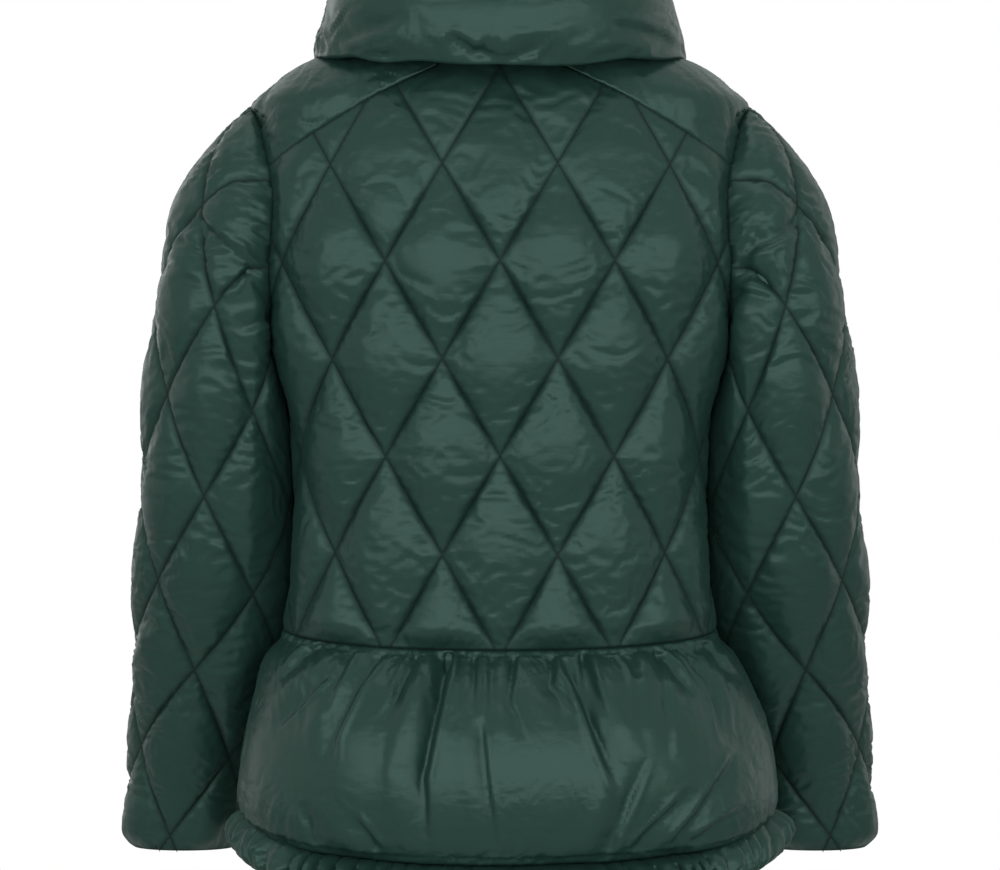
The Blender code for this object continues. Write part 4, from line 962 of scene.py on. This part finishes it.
peplumShape = {
    "puff": 15 * mm,
    "lap": 0.5 * mm,        # back and front meet this far past the side line
    "step": 2.0 * mm,
    "gatherDepth": 5.2 * mm,
    "gatherWidth": 12 * mm,
    "gatherReach": 38 * mm,
    "levels": [0, 0.05, 0.2, 0.4, 0.6, 0.8, 0.93, 1],       # from the waist seam down to the hem
    "fullBehind": [0, 0.35, 0.8, 1, 0.95, 0.75, 0.5, 0.1],
    "fullAside": [0, 0.1, 0.1, 0.15, 0.4, 0.6, 0.6, 0.3],
}
peplumCreases = {
    "depth": 1.3 * mm, "width": 40 * mm, "length": 10 * mm, "sway": 0.5, "reach": 40 * mm,
}
gathersBehind = [
    (11, 9, [(39, -503), (48, -551), (58, -602), (56, -652)], 0.05),
    (10, 9, [(-50, -512), (-70, -563), (-90, -615)]),
    (5, 7, [(-41, -505), (-39, -536), (-57, -558)]),
    (5, 6, [(-12, -505), (-6, -548), (-18, -575)]),
    (4, 6, [(6, -505), (8, -572)]),
    (4, 6, [(21, -505), (21, -558)]),
    (4, 6, [(15, -560), (10, -608), (2, -658)]),
    (5, 7, [(63, -505), (87, -563)]),
    (6, 8, [(90, -504), (109, -536), (125, -575), (125, -596)]),
    (4, 7, [(114, -504), (133, -554)]),
    (4, 7, [(142, -499), (175, -531)]),
    (4, 7, [(133, -527), (175, -566)]),
    (5, 6, [(-63, -505), (-78, -558)]),
    (4, 6, [(-94, -504), (-106, -531)]),
    (5, 7, [(-121, -502), (-150, -546)]),
    (3, 7, [(-125, -506), (-126, -596)]),
    (5, 7, [(-138, -501), (-166, -536), (-174, -581)]),
    (4, 7, [(-157, -498), (-193, -536)]),
    (5, 8, [(-130, -654), (-190, -578)]),
    (5, 8, [(-82, -656), (-109, -587)]),
    (4, 7, [(-99, -656), (-145, -611)]),
    (4, 7, [(-145, -652), (-184, -626)]),
    (4, 7, [(92, -655), (112, -628)]),
    (3, 7, [(140, -653), (150, -622)]),
]
gathersBefore = [
    (8, 8, [(24, -500), (30, -570), (27, -640)]),
    (4, 6, [(45, -500), (52, -545)]),
    (8, 8, [(66, -500), (84, -560), (92, -604)]),
    (4, 6, [(88, -499), (98, -540)]),
    (5, 7, [(110, -499), (136, -556)]),
    (4, 7, [(135, -497), (166, -545)]),
    (5, 8, [(62, -655), (50, -606)]),
    (5, 8, [(118, -655), (140, -600)]),
    (4, 7, [(-20, -500), (-24, -556)]),
    (8, 8, [(-36, -500), (-50, -566), (-49, -630)]),
    (5, 7, [(-62, -500), (-70, -552)]),
    (4, 6, [(-84, -499), (-96, -536)]),
    (7, 8, [(-104, -499), (-124, -558), (-128, -602)]),
    (4, 7, [(-132, -497), (-160, -542)]),
    (5, 8, [(-80, -655), (-96, -612)]),
    (4, 7, [(-146, -652), (-164, -614)]),
]


def seamArcs(first, last, count, z):
    # arc lengths of a row's points from share first to last; 0.5 is the side seam, 1 the zip
    side = peplumForm.sideArc(z)
    centre = peplumForm.arcAtX(cut["zipHalfWidth"], z, False)
    shares = np.linspace(first, last, count)
    lap, size = peplumShape["lap"], np.abs(shares)
    before = side - lap + (centre - side + lap) * (size - 0.5) * 2
    return np.where(size > 0.5, before, 2 * size * (side + lap)) * np.sign(shares)


def startPeplum(name, first, last, facing, folds, seed):
    levels = np.linspace(cut["waist"] - 0.4 * mm, cut["hem"] + 0.6 * mm,
                         int(0.172 / peplumShape["step"]))
    girth = float(peplumForm.girth(cut["hem"]))
    columns = int(abs(last - first) * girth / peplumShape["step"])
    arcs = np.array([seamArcs(first, last, columns, z) for z in levels])
    heights = np.broadcast_to(levels[:, None], arcs.shape)
    grid = peplumForm.place(arcs, heights)
    away = np.stack([grid[..., 0], grid[..., 1], 0 * grid[..., 0]], -1)
    normals = gridNormals(grid, away)
    drop = (cut["waist"] - levels)[:, None] / (cut["waist"] - cut["hem"])
    width = np.abs(arcs - arcs[:, :1])
    ends = np.minimum(width, np.abs(arcs[:, -1:] - arcs))
    top, bottom = drop * 0.175, (1 - drop) * 0.175
    rim = np.minimum(np.minimum(top, bottom), ends)
    aside = smoothstep((np.abs(grid[..., 0]) - 0.115) / 0.07)
    down = np.broadcast_to(drop, arcs.shape)
    full = (np.interp(down, peplumShape["levels"], peplumShape["fullBehind"]) * (1 - aside)
            + np.interp(down, peplumShape["levels"], peplumShape["fullAside"]) * aside)
    full = full * smoothstep(ends / (26 * mm)) ** 0.5
    around = arcs.ravel() / peplumShape["gatherWidth"]
    gathered = noiseAt(around, (heights / (70 * mm)).ravel(), seed)
    lower = noiseAt(around * 0.8 + heights.ravel() * 9, (heights / (60 * mm)).ravel(), seed + 8)
    gathered, lower = gathered.reshape(arcs.shape), lower.reshape(arcs.shape)
    gathers = peplumShape["gatherDepth"] * (
        (0.35 - 1.4 * np.abs(gathered)) * np.exp(-top / peplumShape["gatherReach"])
        + (0.35 - 1.4 * np.abs(lower)) * np.exp(-bottom / (22 * mm)))
    flat = np.stack([arcs.ravel(), heights.ravel()], -1)
    creased = wrinkles(flat, rim.ravel(), seed + 2, peplumCreases).reshape(arcs.shape)
    fit = settle(grid.reshape(-1, 3)).reshape(grid.shape)
    carved = carve(fit.reshape(-1, 3), normals.reshape(-1, 3), folds, facing).reshape(arcs.shape)
    relief = (gathers + creased + carved) * smoothstep(rim / (3 * mm))
    outer = fit + normals * (cut["seamWall"] + peplumShape["puff"] * full + relief)[..., None]
    startGrid(name, fit, outer, rim < 0.5 * mm, full, 5 * mm)


frillShape = {
    "drop": 36 * mm,
    "step": 1.6 * mm,
    "rows": 30,
    "puff": 13 * mm,
    "lobe": 15 * mm,        # width of a common puff
    "flare": 17 * mm,
    "tuck": 3.5 * mm,       # its sewn edge lies behind the peplum's
    "rise": 7 * mm,         # higher at the sides
    "crease": 4.2 * mm,
    "wall": 1.1 * mm,
    # shares of the way down, and how full it is there
    "bulge": ([0.03, 0.12, 0.3, 0.65, 0.88, 1], [0, 0.75, 1, 1, 0.8, 0.45]),
    # and how far out of its flare
    "reach": ([0.09, 0.2, 0.45, 0.8, 1], [0, 4 / 13, 10 / 13, 1, 12 / 13]),
}


def startFrill(name, first, last, seed):
    rows = frillShape["rows"]
    down = np.linspace(0, 1, rows)
    columns = int(abs(last - first) * float(peplumForm.girth(cut["hem"])) / frillShape["step"])
    arcs = np.broadcast_to(seamArcs(first, last, columns, cut["hem"]), (rows, columns))
    base = peplumForm.place(arcs, np.full(arcs.shape, cut["hem"]))
    tangent = unit(np.gradient(base, axis=1))
    outwards = np.stack([-tangent[..., 1], tangent[..., 0], 0 * tangent[..., 0]], -1)
    outwards *= np.where(np.sum(outwards * base, axis=-1, keepdims=True) < 0, -1, 1)
    ends = np.minimum(np.abs(arcs - arcs[:, :1]), np.abs(arcs[:, -1:] - arcs))
    slant = noiseAt(arcs[0] / (90 * mm), arcs[0] * 0, seed)[None, :] * down[:, None] * 1.3
    warp = 1.8 * noiseAt(arcs[0] / (48 * mm), arcs[0] * 0, seed + 4)[None, :]
    phase = arcs / frillShape["lobe"] + slant + warp
    lobes = np.abs(np.sin(math.pi * phase)) ** 0.8
    number = np.floor(phase)
    odd = 0.75 + 0.42 * np.sin(number * 12.9898 + seed)
    bulge = np.interp(down, *frillShape["bulge"])[:, None]
    out = np.interp(down, *frillShape["reach"])[:, None] * frillShape["flare"]
    out = out - frillShape["tuck"] * np.interp(down, [0, 0.09, 0.16], [1, 1, 0])[:, None]
    ease = smoothstep(ends / (5 * mm))
    puffed = frillShape["puff"] * bulge * (0.15 + lobes * odd) * (0.3 + 0.7 * ease)
    z = cut["hem"] + 3 * mm - down[:, None] * frillShape["drop"]
    z = z + 6 * mm * (lobes * odd - 0.5) * down[:, None] * ease
    aside = smoothstep((np.abs(base[..., 0]) - 0.14) / 0.06)
    middle = base.copy()
    middle[..., 2] = z + frillShape["rise"] * aside * smoothstep(down / 0.12)[:, None]
    middle = settle(middle.reshape(-1, 3)).reshape(base.shape)
    middle = middle + outwards * (out * (0.75 + 0.3 * lobes * odd))[..., None]
    rim = np.minimum(np.minimum(down, 1 - down)[:, None] * frillShape["drop"], ends)
    slanted = (arcs + 0.6 * z).ravel()
    sharp = noiseAt(slanted / (10 * mm), (z / (26 * mm)).ravel(), seed + 6)
    creased = frillShape["crease"] * (0.3 - np.abs(sharp).reshape(arcs.shape) ** 0.8)
    relief = puffed + creased * smoothstep(rim / (3 * mm))
    outer = middle + outwards * (frillShape["wall"] + relief)[..., None]
    inner = middle - outwards * (frillShape["wall"] + 0.35 * puffed)[..., None]
    startGrid(name, inner, outer, rim < 0.1 * mm, np.ones(arcs.shape), 2.5 * mm)


startYoke("plainYokeLeft", 1.0, 40.0)
startYoke("plainYokeRight", -1.0, 47.0)
startCollar()
startPeplum("peplumBack", -0.5, 0.5, 1, gathersBehind, 60.0)
startPeplum("peplumFrontLeft", 0.5, 1.0, -1, gathersBefore, 64.0)
startPeplum("peplumFrontRight", -1.0, -0.5, -1, gathersBefore, 68.0)
startFrill("frillBack", -0.5, 0.5, 80.0)
startFrill("frillFrontLeft", 0.5, 1.0, 84.0)
startFrill("frillFrontRight", -1.0, -0.5, 88.0)
print("plain pieces laid out")
finishSoft()
print("cloth puffed")


def addNode(tree, kind, settings, values, output=0):
    made = tree.nodes.new(kind)
    for key, value in settings.items():
        setattr(made, key, value)
    for key, value in values.items():
        if isinstance(value, bpy.types.NodeSocket):
            tree.links.new(value, made.inputs[key])
        else:
            made.inputs[key].default_value = value
    return made.outputs[output]


class Value:
    # a number in a shader tree; sums on it add Math nodes
    def __init__(self, finish, socket):
        self.finish, self.socket = finish, socket

    def math(self, operation, first, second, clamp=False):
        settings = {"operation": operation, "use_clamp": clamp}
        return self.finish.node("ShaderNodeMath", settings, {0: first, 1: second})

    def __add__(self, other): return self.math("ADD", self, other)
    def __radd__(self, other): return self.math("ADD", other, self)
    def __sub__(self, other): return self.math("SUBTRACT", self, other)
    def __rsub__(self, other): return self.math("SUBTRACT", other, self)
    def __mul__(self, other): return self.math("MULTIPLY", self, other)
    def __rmul__(self, other): return self.math("MULTIPLY", other, self)
    def __truediv__(self, other): return self.math("DIVIDE", self, other)
    def __rtruediv__(self, other): return self.math("DIVIDE", other, self)
    def __pow__(self, other): return self.math("POWER", self, other)
    def __rpow__(self, other): return self.math("POWER", other, self)
    def clamped(self): return self.math("ADD", self, 0.0, clamp=True)


class Finish:
    # builds one material's nodes
    def __init__(self, name, colour, roughness, metallic=0.0, specular=0.5):
        self.material = bpy.data.materials.new(name)
        self.material.use_nodes = True
        self.tree = self.material.node_tree
        self.shader = self.tree.nodes["Principled BSDF"]
        self.shader.inputs["Base Color"].default_value = (*colour, 1.0)
        self.shader.inputs["Roughness"].default_value = roughness
        self.shader.inputs["Metallic"].default_value = metallic
        self.shader.inputs["Specular IOR Level"].default_value = specular

    def node(self, kind, settings, values, output=0):
        values = {key: getattr(value, "socket", value) for key, value in values.items()}
        return Value(self, addNode(self.tree, kind, settings, values, output))

    def place(self):
        return self.node("ShaderNodeTexCoord", {}, {}, "Object")

    def noise(self, scale, **more):
        return self.node("ShaderNodeTexNoise", {}, {"Vector": self.place(), "Scale": scale, **more})

    def mixed(self, share, first, second):
        made = self.tree.nodes.new("ShaderNodeMix")
        made.data_type = "RGBA"
        self.tree.links.new(share.socket, made.inputs["Factor"])
        for socket, value in zip([s for s in made.inputs if s.type == "RGBA"], (first, second)):
            if isinstance(value, Value):
                self.tree.links.new(value.socket, socket)
            else:
                socket.default_value = (*value, 1.0)
        return Value(self, next(s for s in made.outputs if s.type == "RGBA"))

    def feed(self, name, value):
        self.tree.links.new(value.socket, self.shader.inputs[name])

    def bump(self, height, distance, strength=1.0):
        self.feed("Normal", self.node("ShaderNodeBump", {}, {
            "Strength": strength, "Distance": distance, "Height": height}, "Normal"))


cloth = {
    "shade": (0.0115, 0.0320, 0.0255),
    "lighter": (0.0138, 0.0375, 0.0300),
    # the seam colour is painted shade for the valleys of the quilting seams, and also the darker
    # tone mixed into the thread
    "seamShade": (0.003, 0.010, 0.008),
    "seamWidth": 4.6 * mm,
    "seamDark": 0.92,
    "roughness": 0.33,
    "specular": 0.26,
    "tint": (0.60, 0.95, 0.82),     # the sheen takes the cloth's green
    "thread": (0.004, 0.014, 0.011),
    "tape": (0.010, 0.028, 0.023),
    "metal": (0.10, 0.10, 0.105),
    "wornMetal": (0.16, 0.16, 0.165),
}


def satinNylon(name):
    # smooth, tightly woven nylon with a soft sheen
    finish = Finish(name, cloth["shade"], cloth["roughness"], specular=cloth["specular"])
    finish.shader.inputs["Specular Tint"].default_value = (*cloth["tint"], 1.0)
    blotch = finish.noise(9.0, Detail=2.0)
    distance = finish.node("ShaderNodeAttribute", {"attribute_name": "seamDistance"}, {}, "Fac")
    # painted shade: the base colour turns darker within a few mm of the quilting lines and cut
    # edges, in place of the shade in the seam valleys; the same band is also rougher
    near = (1.0 - distance / cloth["seamWidth"]).clamped() ** 1.5
    even = finish.mixed(blotch, cloth["shade"], cloth["lighter"])
    finish.feed("Base Color", finish.mixed(near * cloth["seamDark"], even, cloth["seamShade"]))
    edgeOn = finish.node("ShaderNodeLayerWeight", {}, {"Blend": 0.5}, "Facing")
    rough = blotch * 0.08 + near * 0.35 + edgeOn ** 4.0 * 0.40
    finish.feed("Roughness", rough + (cloth["roughness"] - 0.04))
    crinkle = finish.noise(95.0, Detail=3.0, Distortion=0.8)
    flattened = finish.node("ShaderNodeMapping", {}, {
        "Vector": finish.place(), "Scale": (60.0, 60.0, 190.0)})
    creased = finish.node("ShaderNodeTexNoise", {}, {
        "Vector": flattened, "Scale": 1.0, "Detail": 2.0})
    finish.bump(crinkle * 0.5 + creased * 0.8, 0.6 * mm, 0.5)
    return finish.material


def sewingThread():
    finish = Finish("darkThread", cloth["thread"], 0.6, specular=0.2)
    uneven = finish.noise(900.0)
    finish.feed("Base Color", finish.mixed(uneven, cloth["thread"], cloth["seamShade"]))
    return finish.material


def wovenTape():
    finish = Finish("wovenZipTape", cloth["tape"], 0.75, specular=0.2)
    ribs = finish.node("ShaderNodeTexWave", {"wave_type": "BANDS", "bands_direction": "DIAGONAL"},
                       {"Vector": finish.place(), "Scale": 420.0, "Distortion": 0.4})
    finish.feed("Base Color", finish.mixed(ribs, cloth["tape"], cloth["thread"]))
    finish.bump(ribs, 0.2 * mm, 0.6)
    return finish.material


def coilNylon():
    finish = Finish("zipCoilNylon", cloth["tape"], 0.42, specular=0.4)
    finish.feed("Roughness", finish.noise(300.0, Detail=2.0) * 0.2 + 0.32)
    return finish.material


def gunMetal():
    finish = Finish("gunMetal", cloth["metal"], 0.32, metallic=1.0)
    worn = finish.noise(260.0, Detail=3.0)
    finish.feed("Base Color", finish.mixed(worn, cloth["metal"], cloth["wornMetal"]))
    finish.feed("Roughness", worn * 0.22 + 0.22)
    finish.bump(worn, 0.1 * mm, 0.25)
    return finish.material


satin = satinNylon("greenSatinNylon")
thread, tape, coil, metal = sewingThread(), wovenTape(), coilNylon(), gunMetal()

replacedNodes = {
    "quiltedBack": ("back", 0.6),
    "quiltedFrontLeft": ("front_left", 0.6),
    "quiltedFrontRight": ("front_right", 0.6),
    "quiltedSleeveLeft": ("sleeve_left", 0.6),
    "quiltedSleeveRight": ("sleeve_right", 0.6),
    "plainYokeLeft": ("yoke_left", 0.3),
    "plainYokeRight": ("yoke_right", 0.3),
    "foldedCollar": ("collar", 0.7),
    "peplumBack": ("peplum_back", 0.45),
    "peplumFrontLeft": ("peplum_front_left", 0.45),
    "peplumFrontRight": ("peplum_front_right", 0.45),
    "frillBack": ("ruffle_back", 0.35),
    "frillFrontLeft": ("ruffle_front_left", 0.35),
    "frillFrontRight": ("ruffle_front_right", 0.35),
}
for name, (node, fill) in replacedNodes.items():
    piece = bpy.data.objects[name]
    piece.data.materials.append(satin)
    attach(piece, "jacket")
    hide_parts(node)


class Recipe:
    # repeats a small shape along paths with a Geometry Nodes tree
    def __init__(self, name, inputs):
        self.tree = bpy.data.node_groups.new(name, "GeometryNodeTree")
        self.socket("Geometry", "INPUT", "NodeSocketGeometry")
        self.named = {}
        for key, value in inputs.items():
            kind = "NodeSocketInt" if isinstance(value, int) else "NodeSocketFloat"
            self.named[key] = self.socket(key, "INPUT", kind)
        self.socket("Geometry", "OUTPUT", "NodeSocketGeometry")
        self.given = self.tree.nodes.new("NodeGroupInput").outputs
        self.inputs = inputs

    def socket(self, name, way, kind):
        made = self.tree.interface.new_socket(name, in_out=way, socket_type=kind)
        return made.identifier

    def node(self, kind, settings, values):
        return addNode(self.tree, kind, settings, values)

    def row(self, shape):
        # the shape at even steps along the given path, turned to follow it
        given = self.given
        line = self.node("GeometryNodeMeshToCurve", {}, {0: given["Geometry"]})
        spaced = self.node("GeometryNodeResampleCurve", {"mode": "LENGTH"},
                           {"Curve": line, "Length": given["Pitch"]})
        tangent = self.node("GeometryNodeInputTangent", {}, {})
        turned = self.node("FunctionNodeAlignRotationToVector", {"axis": "Z"}, {"Vector": tangent})
        return self.node("GeometryNodeInstanceOnPoints", {},
                         {"Points": spaced, "Instance": shape, "Rotation": turned})

    def joined(self, *parts):
        made = self.tree.nodes.new("GeometryNodeJoinGeometry")
        for part in parts:
            self.tree.links.new(part, made.inputs[0])
        return made.outputs[0]

    def finished(self, shape, material, source, name):
        # runs the tree on source and keeps the result as a plain mesh
        real = self.node("GeometryNodeRealizeInstances", {}, {0: shape})
        painted = self.node("GeometryNodeSetMaterial", {}, {0: real, "Material": material})
        self.tree.links.new(painted, self.tree.nodes.new("NodeGroupOutput").inputs[0])
        modifier = source.modifiers.new(self.tree.name, "NODES")
        modifier.node_group = self.tree
        for key, value in self.inputs.items():
            modifier[self.named[key]] = value
        depsgraph = bpy.context.evaluated_depsgraph_get()
        mesh = bpy.data.meshes.new_from_object(source.evaluated_get(depsgraph))
        mesh.name = name
        source.modifiers.clear()
        bpy.data.objects.remove(source)
        return addObject(name, mesh)


stitch = {
    "Pitch": 3.4 * mm,
    "Length": 2.3 * mm,
    "Radius": 0.36 * mm,
    "Sides": 5,
}


def sewStitches():
    recipe = Recipe("quiltStitch", stitch)
    given = recipe.given
    bar = recipe.node("GeometryNodeMeshCylinder", {"fill_type": "NGON"}, {
        "Vertices": given["Sides"], "Radius": given["Radius"], "Depth": given["Length"]})
    points, edges, count = [], [], 0
    for panel in softPieces:
        if not panel["sewn"].any():
            continue
        ends = np.unique(np.sort(faceEdges(panel["faces"]), axis=1), axis=0)
        ends = ends[panel["sewn"][ends].all(axis=1)]
        middle = (panel["flat"][ends[:, 0]] + panel["flat"][ends[:, 1]]) / 2
        ends = ends[lineDistance(middle, panel["diamond"]) < quilt["onLine"]]
        points.append(panel["points"] + panel["normals"] * 0.1 * mm)
        edges.append(ends + count)
        count += len(panel["points"])
    channels = makeMesh("quiltPaths", np.concatenate(points), edges=np.concatenate(edges))
    return recipe.finished(recipe.row(bar), thread, channels, "quiltStitches")


teeth = {
    "Pitch": 1.5 * mm,
    "Width": 1.7 * mm,      # of one side's tooth
    "Height": 0.9 * mm,
    "Depth": 1.9 * mm,
}
zipCloth = {
    "edges": ([1.6, 8.6], [0.3, 10.4]),     # the tapes reach in under the teeth and the fronts
    "end": 1.5 * mm,                        # teeth stop this much above the hem seam
    "forward": 1.3 * mm,                    # and stand this much before the form
}


def zipLine(step):
    upper = placeFront(np.zeros(300), np.linspace(cut["neckFront"] - 1.5 * mm, cut["waist"], 300))
    levels = np.linspace(cut["waist"], cut["hem"], 120)
    lower = peplumForm.place(peplumForm.girth(levels), levels)
    line = settle(np.concatenate([upper, lower[1:]]))
    line[:, 0] = 0.0
    length = runningLength(line)
    places = np.arange(0, length[-1] - zipCloth["end"], step)
    line = np.stack([np.interp(places, length, line[:, axis]) for axis in range(3)], -1)
    slope = np.gradient(line, axis=0)
    out = unit(np.stack([np.zeros(len(line)), slope[:, 2], -slope[:, 1]], -1))
    return line + out * zipCloth["forward"]


def setTeeth():
    recipe = Recipe("zipTooth", teeth)
    given = recipe.given

    def times(socket, share):
        return recipe.node("ShaderNodeMath", {"operation": "MULTIPLY"}, {0: socket, 1: share})
    size = recipe.node("ShaderNodeCombineXYZ", {}, {
        0: given["Width"], 1: given["Depth"], 2: given["Height"]})
    tooth = recipe.node("GeometryNodeMeshCube", {}, {"Size": size})
    sides = []
    for way in (1, -1):
        across, along = times(given["Width"], 0.34 * way), times(given["Pitch"], 0.25 * way)
        shift = recipe.node("ShaderNodeCombineXYZ", {}, {0: across, 2: along})
        sides.append(recipe.node("GeometryNodeTransform", {}, {
            0: tooth, "Translation": shift, "Rotation": (0.0, math.radians(9 * way), 0.0)}))
    line = zipLine(teeth["Pitch"])
    path = makeMesh("zipPath", line, edges=[(k, k + 1) for k in range(len(line) - 1)])
    return recipe.finished(recipe.row(recipe.joined(*sides)), coil, path, "zipTeeth")


stitches = sewStitches()
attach(stitches, "jacket")
zipTeeth = setTeeth()
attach(zipTeeth, "jacket")
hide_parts("zip_coil")


def settledCopy(node, name, finish, widths):
    # a copy of the frame's piece, moved as the cloth beside it; widths are old and new edges in mm
    given = bpy.data.objects[node]
    points = np.array([given.matrix_world @ vertex.co for vertex in given.data.vertices])
    across = np.interp(np.abs(points[:, 0]) / mm, *widths) * mm
    points[:, 0] = np.copysign(across, points[:, 0])
    faces = [tuple(face.vertices) for face in given.data.polygons]
    piece = makeMesh(name, settle(points), faces, False)
    piece.data.materials.append(finish)
    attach(piece, "jacket")
    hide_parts(node)


settledCopy("zip_tape_left", "zipTapeLeft", tape, zipCloth["edges"])
settledCopy("zip_tape_right", "zipTapeRight", tape, zipCloth["edges"])
settledCopy("zip_stop", "zipStop", metal, ([0, 100], [0, 100]))    # as wide as it was
for node in ("zip_slider", "zip_pull"):
    bpy.data.objects[node].data.materials[0] = metal
print("stitches and zip made,", len(stitches.data.polygons), "and",
      len(zipTeeth.data.polygons), "faces")


studio = {
    "cameraY": 3.3,
    "cameraZ": -0.330,
    "lens": 144,
    "floorZ": -1.45,        # the jacket is held at shoulder height
    "floorReach": 6,
    "floorShade": (0.82, 0.82, 0.82),
    "floorGlow": 0.65,      # keeps the far floor as pale as the near
    "glowShade": (0.86, 0.86, 0.86, 1.0),
    "ambient": 0.30,
    "lamps": {              # place, size and power
        "backBox": ((0, 2.8, 0.2), (7.0, 1.9), 105),
        "frontBox": ((0.3, -3.0, 0.2), (3.4, 1.9), 52),
        "topBox": ((0, 0.4, 2.0), (1.6, 1.2), 8),
    },
}
camera = addObject("camera", bpy.data.cameras.new("camera"))
camera.data.lens = studio["lens"]
camera.location = (0, studio["cameraY"], studio["cameraZ"])
camera.rotation_euler = (math.radians(90), 0, math.radians(180))
bpy.context.scene.camera = camera


def addLamp(name, place, size, power, target=(0, 0, -0.33)):
    lamp = addObject(name, bpy.data.lights.new(name, "AREA"))
    lamp.data.shape = "RECTANGLE"
    lamp.data.size, lamp.data.size_y = size
    lamp.data.energy = power
    lamp.location = place
    lamp.rotation_mode = "QUATERNION"
    lamp.rotation_quaternion = (Vector(target) - Vector(place)).to_track_quat("-Z", "Y")


for name, (place, size, power) in studio["lamps"].items():
    addLamp(name, place, size, power)

corners = [(x * studio["floorReach"], y * studio["floorReach"], studio["floorZ"])
           for x, y in ((-1, -1), (1, -1), (1, 1), (-1, 1))]
floor = makeMesh("floor", corners, [(0, 1, 2, 3)], False)
paper = Finish("palePaper", studio["floorShade"], 0.9, specular=0.1)
behind = paper.node("ShaderNodeNewGeometry", {}, {}, "Backfacing")
clear = paper.node("ShaderNodeBsdfTransparent", {}, {})
looked = paper.node("ShaderNodeLightPath", {}, {}, "Is Camera Ray") * studio["floorGlow"]
glow = paper.node("ShaderNodeEmission", {}, {"Color": studio["glowShade"], "Strength": 1.0})
pale = paper.node("ShaderNodeMixShader", {}, {0: looked, 1: paper.shader.outputs[0], 2: glow})
seen = paper.node("ShaderNodeMixShader", {}, {0: behind, 1: pale, 2: clear})
paper.tree.links.new(seen.socket, paper.tree.nodes["Material Output"].inputs["Surface"])
floor.data.materials.append(paper.material)

world = bpy.data.worlds.new("studio")
world.use_nodes = True
bpy.context.scene.world = world
tree = world.node_tree
background = tree.nodes["Background"]
background.inputs["Color"].default_value = (1, 1, 1, 1)
# white to look at and in reflections, dimmer as light
rays = tree.nodes.new("ShaderNodeLightPath").outputs
bright = rays["Is Camera Ray"]
for ray in ("Is Transmission Ray", "Is Glossy Ray"):
    bright = addNode(tree, "ShaderNodeMath", {"operation": "MAXIMUM"}, {0: bright, 1: rays[ray]})
strength = addNode(tree, "ShaderNodeMapRange", {}, {
    "Value": bright, "To Min": studio["ambient"], "To Max": 1.0})
tree.links.new(strength, background.inputs["Strength"])

bpy.context.scene.view_settings.view_transform = "Standard"
